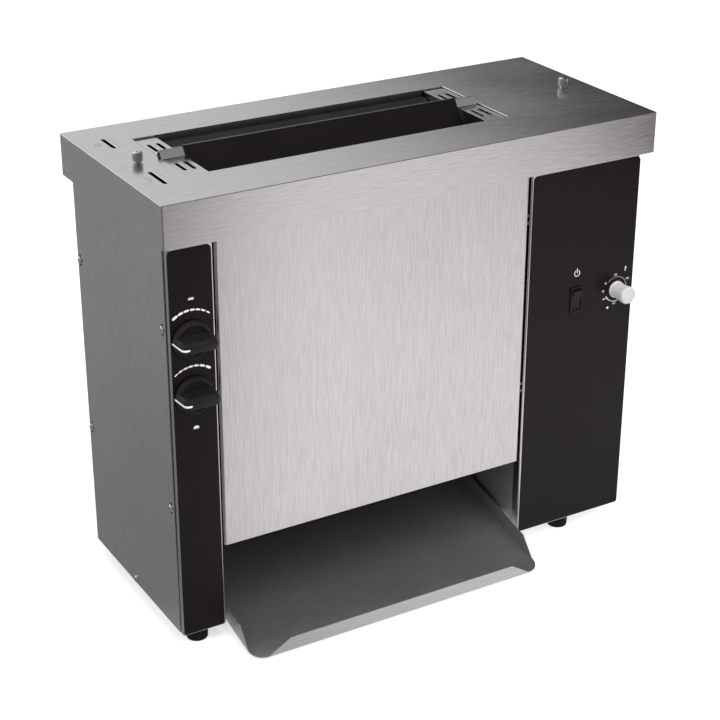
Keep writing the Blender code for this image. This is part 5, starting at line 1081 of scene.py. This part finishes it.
# How many of the side screws stand over an upright slot
SLOTTED = 4
BACK_SCREWS = ((-0.2514, 0.4475), (-0.2514, 0.0875), (0.1518, 0.4475), (0.1518, 0.0875))
SLOT_HALF_WIDTH, SLOT_HALF_LENGTH = 0.0024, 0.0068
SLOT_ROOT, SLOT_HEIGHT = -0.0004, 0.00006


def pan_head(place, out, radius, height):
    """A pan-head screw with a cross recess, standing on an upright panel"""
    def cross(share):
        def reach(k):
            angle = 2 * math.pi * k / SCREW_STEPS
            on_arm = min(abs(math.cos(angle)), abs(math.sin(angle))) < CROSS_WIDTH
            return radius * share * (CROSS_ARM if on_arm else CROSS_WAIST)

        return reach

    rows = [(radius * share, height * level) for share, level in PAN_PROFILE]
    rows += [(cross(1.0), height), (cross(CROSS_TAPER), height * CROSS_FLOOR)]
    side = Vector((0, 0, 1)).cross(Vector(out))
    return Shape().turn(rows, place, out, SCREW_STEPS, side)


class TOASTER_OT_panel_screws(bpy.types.Operator):
    """Pan-head screws over upright slots on the sides, and on the back; each slot is a flat near-black patch of
    painted shade in the hole
    """

    bl_idname = "toaster.panel_screws"
    bl_label = "Panel Screws"

    def execute(self, context):
        hardware = context.scene.toaster.hardware
        screws = [((x, BACK_FACE, z), (0, 1, 0)) for x, z in BACK_SCREWS]
        slots = Shape()
        for face, out in ((LEFT_FACE, -1), (RIGHT_FACE, 1)):
            screws += [((face, y, z), (out, 0, 0)) for y, z in SIDE_SCREWS]

            def on_side(u, v, height):
                return Vector((face + out * height, u, v))

            # Each slot is a thin near-black patch: painted shade standing for the hole
            slot = rounded_box(SLOT_HALF_WIDTH, SLOT_HALF_LENGTH, SLOT_HALF_WIDTH, 6)
            for y, z in SIDE_SCREWS[:SLOTTED]:
                slots.slab(shifted(slot, y, z), SLOT_ROOT, SLOT_HEIGHT, on_side)
        heads = Shape()
        for place, out in screws:
            head = pan_head(place, out, hardware.screw_radius, hardware.screw_height)
            heads.join(head.vertices, head.faces)
        heads.build("panel_screws", plain_paint("polished"), "housing", "polished_steel", 30)
        slots.build("screw_slots", plain_paint("recess"), "housing", "black_plastic", 0)
        return {"FINISHED"}


# Radius, height and whether the flutes are cut there
THUMB_PROFILE = (
    (0.0030, -0.0004, 0), (0.0036, -0.0002, 0), (0.0036, 0.0015, 0), (0.0044, 0.0017, 0),
    (0.0052, 0.0021, 0), (0.0055, 0.0027, 1), (0.0055, 0.0082, 1), (0.0052, 0.0090, 0),
    (0.0046, 0.0095, 0), (0.0034, 0.0099, 0), (0.0012, 0.0100, 0),
)
THUMB_HEIGHT = 0.0100
FLUTE_POINTS = 6
FLUTE_DEPTH = 0.00035


def fluted_radius(radius):
    """The radius of each step round a fluted head"""
    def reach(step):
        return radius - FLUTE_DEPTH * (1 - abs(math.sin(math.pi * step / FLUTE_POINTS)))

    return reach


class TOASTER_OT_thumbscrews(bpy.types.Operator):
    """The two knurled thumbscrews that hold the cap"""

    bl_idname = "toaster.thumbscrews"
    bl_label = "Thumbscrews"

    def execute(self, context):
        steps = context.scene.toaster.hardware.thumb_knurls * FLUTE_POINTS
        for name in ("left", "right"):
            node = "cap_thumbscrew_" + name
            spot = middle(node)
            scale = (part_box(node)[1].z - CAP_TOP) / THUMB_HEIGHT
            rows = [
                (fluted_radius(radius) if fluted else radius, level * scale)
                for radius, level, fluted in THUMB_PROFILE
            ]
            head = Shape().turn(rows, (spot.x, spot.y, CAP_TOP), (0, 0, 1), steps, Vector((1, 0, 0)))
            steel = plain_paint("polished")
            head.build(name + "_thumb_head", steel, name + "_thumbscrew", "polished_steel", 38)
            dress((node,), steel)
        return {"FINISHED"}


TICK_X, TICK_LENGTH, TICK_GAIN, TICK_WIDTH = -0.2635, 0.0018, 0.0005, 0.00035
TICK_ROWS = ((-0.046, -0.010), (0.081, 0.111))
TICKS = 6
CROWN_PICTURE = (-0.2790, -0.0280)
HEEL_PICTURE = (-0.2800, 0.0960)
PICTURE_LINE = 0.00045


class TOASTER_OT_cap_marks(bpy.types.Operator):
    """Etched ticks and plain bun pictures beside the two indicator slots of the cap"""

    bl_idname = "toaster.cap_marks"
    bl_label = "Cap Marks"

    def execute(self, context):
        ticks = Shape()
        for start, end in TICK_ROWS:
            for k in range(TICKS):
                y = start + (end - start) * k / (TICKS - 1)
                tick = stroke([(TICK_X, y), (TICK_X + TICK_LENGTH + TICK_GAIN * k, y)], TICK_WIDTH, 4)
                ticks.slab(tick, MARK_ROOT, ETCH_HEIGHT, on_cap)
        ticks.build("indicator_ticks", plain_paint("etched"), "cap", "brushed_steel", 0)
        pictures = Shape()
        for (x, y), outline in (
            (CROWN_PICTURE, bun_dome(0.0052, 0.0040)),
            (HEEL_PICTURE, rounded_box(0.0052, 0.0018, 0.0014, 5)),
        ):
            turned = [(x - v, y + u) for u, v in stroke(outline + outline[:1], PICTURE_LINE, 4)]
            pictures.slab(turned, MARK_ROOT, ETCH_HEIGHT, on_cap)
        pictures.build("bun_pictures", plain_paint("etched"), "cap", "brushed_steel", 0)
        return {"FINISHED"}


ROD_INSET, ROD_END, ROD_STEPS = 0.0004, 0.6, 16
FLANGE_INSET, FLANGE_GAP, FLANGE_DEPTH, FLANGE_FOLD = 0.0012, 0.0002, 0.0008, 0.0006


class TOASTER_OT_slot_trim(bpy.types.Operator):
    """The light grey rod in the top fold of the release sheet, a painted highlight of the fold, and the folded
    flange behind the cap's cut-out, near black as painted shade under the cap's edge
    """

    bl_idname = "toaster.slot_trim"
    bl_label = "Slot Trim"

    def execute(self, context):
        hardware = context.scene.toaster.hardware
        radius, drop = hardware.rod_radius, hardware.flange_drop
        low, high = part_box("release_sheet")
        start = (low.x + ROD_INSET, middle("release_sheet").y, high.z - radius * 0.4)
        length = high.x - low.x - 2 * ROD_INSET
        tip = radius * ROD_END
        profile = ((tip, 0.0), (radius, ROD_INSET), (radius, length - ROD_INSET), (tip, length))
        rod = Shape().turn(profile, start, (1, 0, 0), ROD_STEPS)
        # The rod's light grey is a painted highlight along the sheet's fold
        rod.build("sheet_rod", plain_paint("dark_rod"), "sheet_holder", "polished_steel", 40)
        ends = (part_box("left_end_plate")[1].x + FLANGE_INSET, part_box("right_end_plate")[0].x - FLANGE_INSET)
        top, back = CAP_TOP - SHEET_THICKNESS, CUTOUT_BACK - FLANGE_GAP
        foot, front = top - drop, back - FLANGE_DEPTH
        outline = (
            (back, top), (front, top - FLANGE_FOLD), (front, foot + FLANGE_FOLD),
            (back - FLANGE_DEPTH / 2, foot), (back, foot),
        )
        flange = Shape().loft([[Vector((x, y, z)) for y, z in outline] for x in ends])
        # The flange is coloured near black as painted shade under the cap's rear edge
        flange.build("cutout_flange", plain_paint("dark_fold"), "cap", "brushed_steel", 40)
        return {"FINISHED"}


# Share of the foot's radius, height in metres and share of the foot's height added to it
FOOT_PROFILE = (
    (0.30, 0.0, 0.0), (0.86, 0.0, 0.0), (0.92, 0.0003, 0.0), (0.95, 0.0010, 0.0),
    (0.98, 0.0, 0.45), (1.0, 0.0, 0.86), (1.0, 0.0, 0.97), (0.97, 0.0, 1.0),
)
FOOT_STEPS = 56


class TOASTER_OT_feet(bpy.types.Operator):
    """The four black rubber feet with rounded lower edges"""

    bl_idname = "toaster.feet"
    bl_label = "Feet"

    def execute(self, context):
        for node in ("foot_left_front", "foot_left_rear", "foot_right_front", "foot_right_rear"):
            low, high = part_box(node)
            radius, spot = (high.x - low.x) / 2, middle(node)
            profile = [(radius * share, level + high.z * part) for share, level, part in FOOT_PROFILE]
            foot = Shape().turn(profile, (spot.x, spot.y, 0), (0, 0, 1), FOOT_STEPS)
            made = foot.build("rubber_" + node, plain_paint("black_rubber"), "housing", "black_rubber", 35)
            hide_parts(node)
        return {"FINISHED"}


# Stage
# The floor as the steel mirrors it, all painted light and shade: its bright colour near the viewer and its
# painted shade behind the toaster
NEAR_TONE, FAR_TONE = (1.045, 0.999, 0.999), (0.216, 0.230, 0.225)
# The depths at which it has the far and the near colour; left of the edge they come forwards by the slope
FAR_DEPTH, NEAR_DEPTH = 0.06, -0.36
LEFT_EDGE, LEFT_SLOPE = -0.30, 0.9
# Changes of brightness: from one place to another in metres, and the brightness at both. The near part fades
# leftwards along a slant, and the far part grows brighter backwards and to the right
SLANT, SLANT_LIGHT = 0.52, (-0.60, -0.18, 0.20, 1.0)
BEHIND_LIGHT, RIGHT_LIGHT = (-0.10, 1.15, 1.0, 1.36), (-0.28, 0.10, 1.0, 2.8)
# Brightness by distance from the dark corner, as a share of the reach
CORNER_PLACE, CORNER_REACH = (1.75, -1.05, 0.0), 2.0
CORNER_TONES = (
    (0.0, 0.03), (0.265, 0.04), (0.284, 0.18), (0.30, 0.40), (0.33, 0.57), (0.36, 0.67), (0.42, 0.78),
    (0.50, 0.88), (0.72, 1.0),
)
# The room as the steel mirrors it: brightness by heading, in degrees from straight behind towards the right
ROOM_TONES = (
    (-180, 1.1), (-140, 0.7), (-110, 0.40), (-70, 0.45), (-48, 1.0), (-30, 1.6), (-10, 1.3), (8, 0.95),
    (21, 0.85), (24, 0.88), (26.5, 0.84), (28.3, 0.75), (30, 0.64), (31, 0.55), (32.4, 0.40), (33.4, 0.27),
    (34.4, 0.15), (35.4, 0.06), (36.4, 0.02), (37.6, 0.0), (38.8, 0.0), (60, 0.0), (95, 0.10), (125, 1.1),
    (180, 1.1),
)
# The headings lean with height: lowest and highest height, the height without lean, and turns per height
LEAN_LOW, LEAN_HIGH, LEAN_LEVEL, LEAN = 0.2, 0.4, 0.292, 0.225
ROOM_TINT = (0.985, 1.0, 0.992)
# Changes of brightness with the direction: dimmer overhead, dark in front, and the most that low and high
# directions may have
OVERHEAD_LIGHT, FRONT_LIGHT = (0.70, 0.96, 0.89, 0.42), (-0.48, -0.66, 1.0, 0.12)
MOST_LIGHT = (0.30, 0.52, 1.08, 1.6)


def floor_tone(tree):
    """Painted light and shade for reflections: bright in front and to the right, dim behind, at the left and in
    the far right corner
    """
    place = add(tree, "TexCoord").outputs["Object"]
    x, y, _ = split(tree, place)
    left = calc(tree, "MAXIMUM", calc(tree, "SUBTRACT", LEFT_EDGE, x), 0.0)
    depth = calc(tree, "ADD", y, calc(tree, "MULTIPLY", left, LEFT_SLOPE))
    front = smooth_share(tree, depth, FAR_DEPTH, NEAR_DEPTH)
    slant = calc(tree, "ADD", x, calc(tree, "MULTIPLY", y, SLANT))
    near = scaled(tree, NEAR_TONE, smooth_share(tree, slant, *SLANT_LIGHT))
    behind = smooth_share(tree, y, *BEHIND_LIGHT)
    right = smooth_share(tree, x, *RIGHT_LIGHT)
    far = scaled(tree, FAR_TONE, calc(tree, "MAXIMUM", behind, right))
    away = add(tree, "VectorMath", operation="DISTANCE")
    feed(tree, place, away.inputs[0])
    feed(tree, CORNER_PLACE, away.inputs[1])
    distance = calc(tree, "DIVIDE", away.outputs["Value"], CORNER_REACH)
    corner = ramp(tree, distance, [(share, (level, level, level)) for share, level in CORNER_TONES])
    return scaled(tree, mix(tree, "RGBA", front, far, near), corner)


def room_tone(tree):
    """Bright behind on the left, dark behind on the right, and dim overhead"""
    x, y, z = split(tree, add(tree, "TexCoord").outputs["Generated"])
    heading = calc(tree, "ARCTAN2", x, y)
    rise = calc(tree, "MINIMUM", calc(tree, "MAXIMUM", z, LEAN_LOW), LEAN_HIGH)
    tilt = calc(tree, "MULTIPLY", calc(tree, "SUBTRACT", rise, LEAN_LEVEL), LEAN)
    turn = calc(tree, "ADD", calc(tree, "DIVIDE", heading, 2 * math.pi), 0.5)
    share = calc(tree, "SUBTRACT", turn, tilt)
    cells = [((angle + 180) / 360, shade(ROOM_TINT, level)) for angle, level in ROOM_TONES]
    overhead = smooth_share(tree, z, *OVERHEAD_LIGHT)
    front = smooth_share(tree, y, *FRONT_LIGHT)
    most = smooth_share(tree, z, *MOST_LIGHT)
    tone = add(tree, "VectorMath", operation="MINIMUM")
    feed(tree, ramp(tree, share, cells), tone.inputs[0])
    feed(tree, most, tone.inputs[1])
    return scaled(tree, tone.outputs[0], calc(tree, "MULTIPLY", overhead, front))


SENSOR_WIDTH, CLIP_START = 36.0, 0.05
FLOOR_DROP, FLOOR_WHITE = 0.0002, 0.80
# Where the floor's glow starts and stops growing, in metres from the middle, and how much it grows
GLOW_START, GLOW_END, GLOW_GAIN = 1.0, 3.4, 0.12
LAMP_AIM = (0.0, 0.0, 0.25)
WHITE = (1.0, 1.0, 1.0, 1.0)


class TOASTER_OT_stage(bpy.types.Operator):
    """Camera at the photo's angle, pale floor, soft lamps and plain surround"""

    bl_idname = "toaster.stage"
    bl_label = "Stage"

    def execute(self, context):
        stage = context.scene.toaster.stage
        scene = context.scene
        yaw, pitch, roll = stage.yaw, stage.pitch, stage.roll
        ahead = Vector((math.sin(yaw) * math.cos(pitch), math.cos(yaw) * math.cos(pitch), -math.sin(pitch)))
        right = Vector((math.cos(yaw), -math.sin(yaw), 0.0))
        up = right.cross(ahead)
        right_rolled = right * math.cos(roll) + up * math.sin(roll)
        up_rolled = up * math.cos(roll) - right * math.sin(roll)
        turn = Matrix((right_rolled, up_rolled, -ahead)).transposed()
        data = bpy.data.cameras.new("view")
        data.lens = stage.lens
        data.sensor_width = SENSOR_WIDTH
        data.clip_start = CLIP_START
        camera = bpy.data.objects.new("view", data)
        camera.matrix_world = Matrix.Translation(stage.eye) @ turn.to_4x4()
        scene.collection.objects.link(camera)
        scene.camera = camera
        self.floor(stage)
        self.lamps(stage)
        self.surround(stage)
        scene.view_settings.view_transform = "Standard"
        return {"FINISHED"}

    def floor(self, stage):
        """A white floor that keeps the shadow, and shows painted light and shade to reflections"""
        half = stage.floor_size / 2
        mesh = bpy.data.meshes.new("floor")
        corners = [(-half, -half, 0), (half, -half, 0), (half, half, 0), (-half, half, 0)]
        mesh.from_pydata(corners, [], [(0, 1, 2, 3)])
        floor = bpy.data.objects.new("floor", mesh)
        bpy.context.scene.collection.objects.link(floor)
        floor.location.z = -FLOOR_DROP
        paper = bpy.data.materials.new("pale_floor")
        paper.use_nodes = True
        tree = paper.node_tree
        tree.nodes.clear()
        plain = add(tree, "BsdfDiffuse")
        plain.inputs["Color"].default_value = (FLOOR_WHITE, FLOOR_WHITE, FLOOR_WHITE, 1.0)
        seen = add(tree, "Emission")
        spot = add(tree, "TexCoord")
        reach = add(tree, "VectorMath", operation="LENGTH")
        feed(tree, spot.outputs["Object"], reach.inputs[0])
        near_glow, far_glow = stage.floor_glow, stage.floor_glow + GLOW_GAIN
        glow = smooth_share(tree, reach.outputs["Value"], GLOW_START, GLOW_END, near_glow, far_glow)
        feed(tree, glow, seen.inputs["Strength"])
        shown = add(tree, "AddShader")
        feed(tree, plain.outputs[0], shown.inputs[0])
        feed(tree, seen.outputs[0], shown.inputs[1])
        mirrored = add(tree, "Emission")
        feed(tree, floor_tone(tree), mirrored.inputs["Color"])
        by_ray(tree, plain.outputs[0], shown.outputs[0], mirrored.outputs[0], add(tree, "OutputMaterial"))
        mesh.materials.append(paper)

    def lamps(self, stage):
        """Soft lamps that light the plastics; the metal mirrors the surround instead"""
        aim = Vector(LAMP_AIM)
        rows = (
            ("key_lamp", (1.3, -2.4, 1.9), 1.8, stage.key_power),
            ("fill_lamp", (-2.6, -0.9, 1.5), 1.8, stage.fill_power),
            ("top_lamp", (-0.25, -0.95, 2.5), 1.5, stage.top_power),
        )
        for name, place, size, power in rows:
            data = bpy.data.lights.new(name, "AREA")
            data.size = size
            data.energy = power
            lamp = bpy.data.objects.new(name, data)
            bpy.context.scene.collection.objects.link(lamp)
            lamp.visible_glossy = False
            lamp.location = place
            lamp.rotation_euler = (aim - Vector(place)).to_track_quat("-Z", "Y").to_euler()

    def surround(self, stage):
        """White to the camera, plain as light, and a room with a dark far right corner in reflections"""
        world = bpy.data.worlds.new("surround")
        bpy.context.scene.world = world
        world.use_nodes = True
        tree = world.node_tree
        tree.nodes.clear()
        air = add(tree, "Background")
        air.inputs["Color"].default_value = WHITE
        air.inputs["Strength"].default_value = stage.air
        white = add(tree, "Background")
        white.inputs["Color"].default_value = WHITE
        room = add(tree, "Background")
        feed(tree, room_tone(tree), room.inputs["Color"])
        by_ray(tree, air.outputs[0], white.outputs[0], room.outputs[0], add(tree, "OutputWorld"))


STEPS = (
    TOASTER_OT_surface_groups,
    TOASTER_OT_steel_panels,
    TOASTER_OT_inner_works,
    TOASTER_OT_overlays,
    TOASTER_OT_dials,
    TOASTER_OT_dial_marks,
    TOASTER_OT_power_marks,
    TOASTER_OT_temperature_marks,
    TOASTER_OT_temperature_knob,
    TOASTER_OT_panel_screws,
    TOASTER_OT_thumbscrews,
    TOASTER_OT_cap_marks,
    TOASTER_OT_slot_trim,
    TOASTER_OT_feet,
    TOASTER_OT_stage,
)


class TOASTER_PT_looks(bpy.types.Panel):
    """Lists the steps that dress the toaster, with the sizes they use"""

    bl_idname = "TOASTER_PT_looks"
    bl_label = "Toaster Looks"
    bl_space_type = "VIEW_3D"
    bl_region_type = "UI"
    bl_category = "Toaster"

    def draw(self, context):
        looks = context.scene.toaster
        for group in (looks.steel, looks.controls, looks.hardware, looks.stage):
            box = self.layout.box()
            for key in group.__annotations__:
                box.prop(group, key)
        for step in STEPS:
            self.layout.operator(step.bl_idname)


CLASSES = (ToasterSteel, ToasterControls, ToasterHardware, ToasterStage, ToasterLooks, *STEPS, TOASTER_PT_looks)


def register():
    for kind in CLASSES:
        bpy.utils.register_class(kind)
    bpy.types.Scene.toaster = PointerProperty(type=ToasterLooks)


def unregister():
    del bpy.types.Scene.toaster
    for kind in reversed(CLASSES):
        bpy.utils.unregister_class(kind)


def main():
    register()
    for step in STEPS:
        family, name = step.bl_idname.split(".")
        getattr(getattr(bpy.ops, family), name)()


if __name__ == "__main__":
    main()
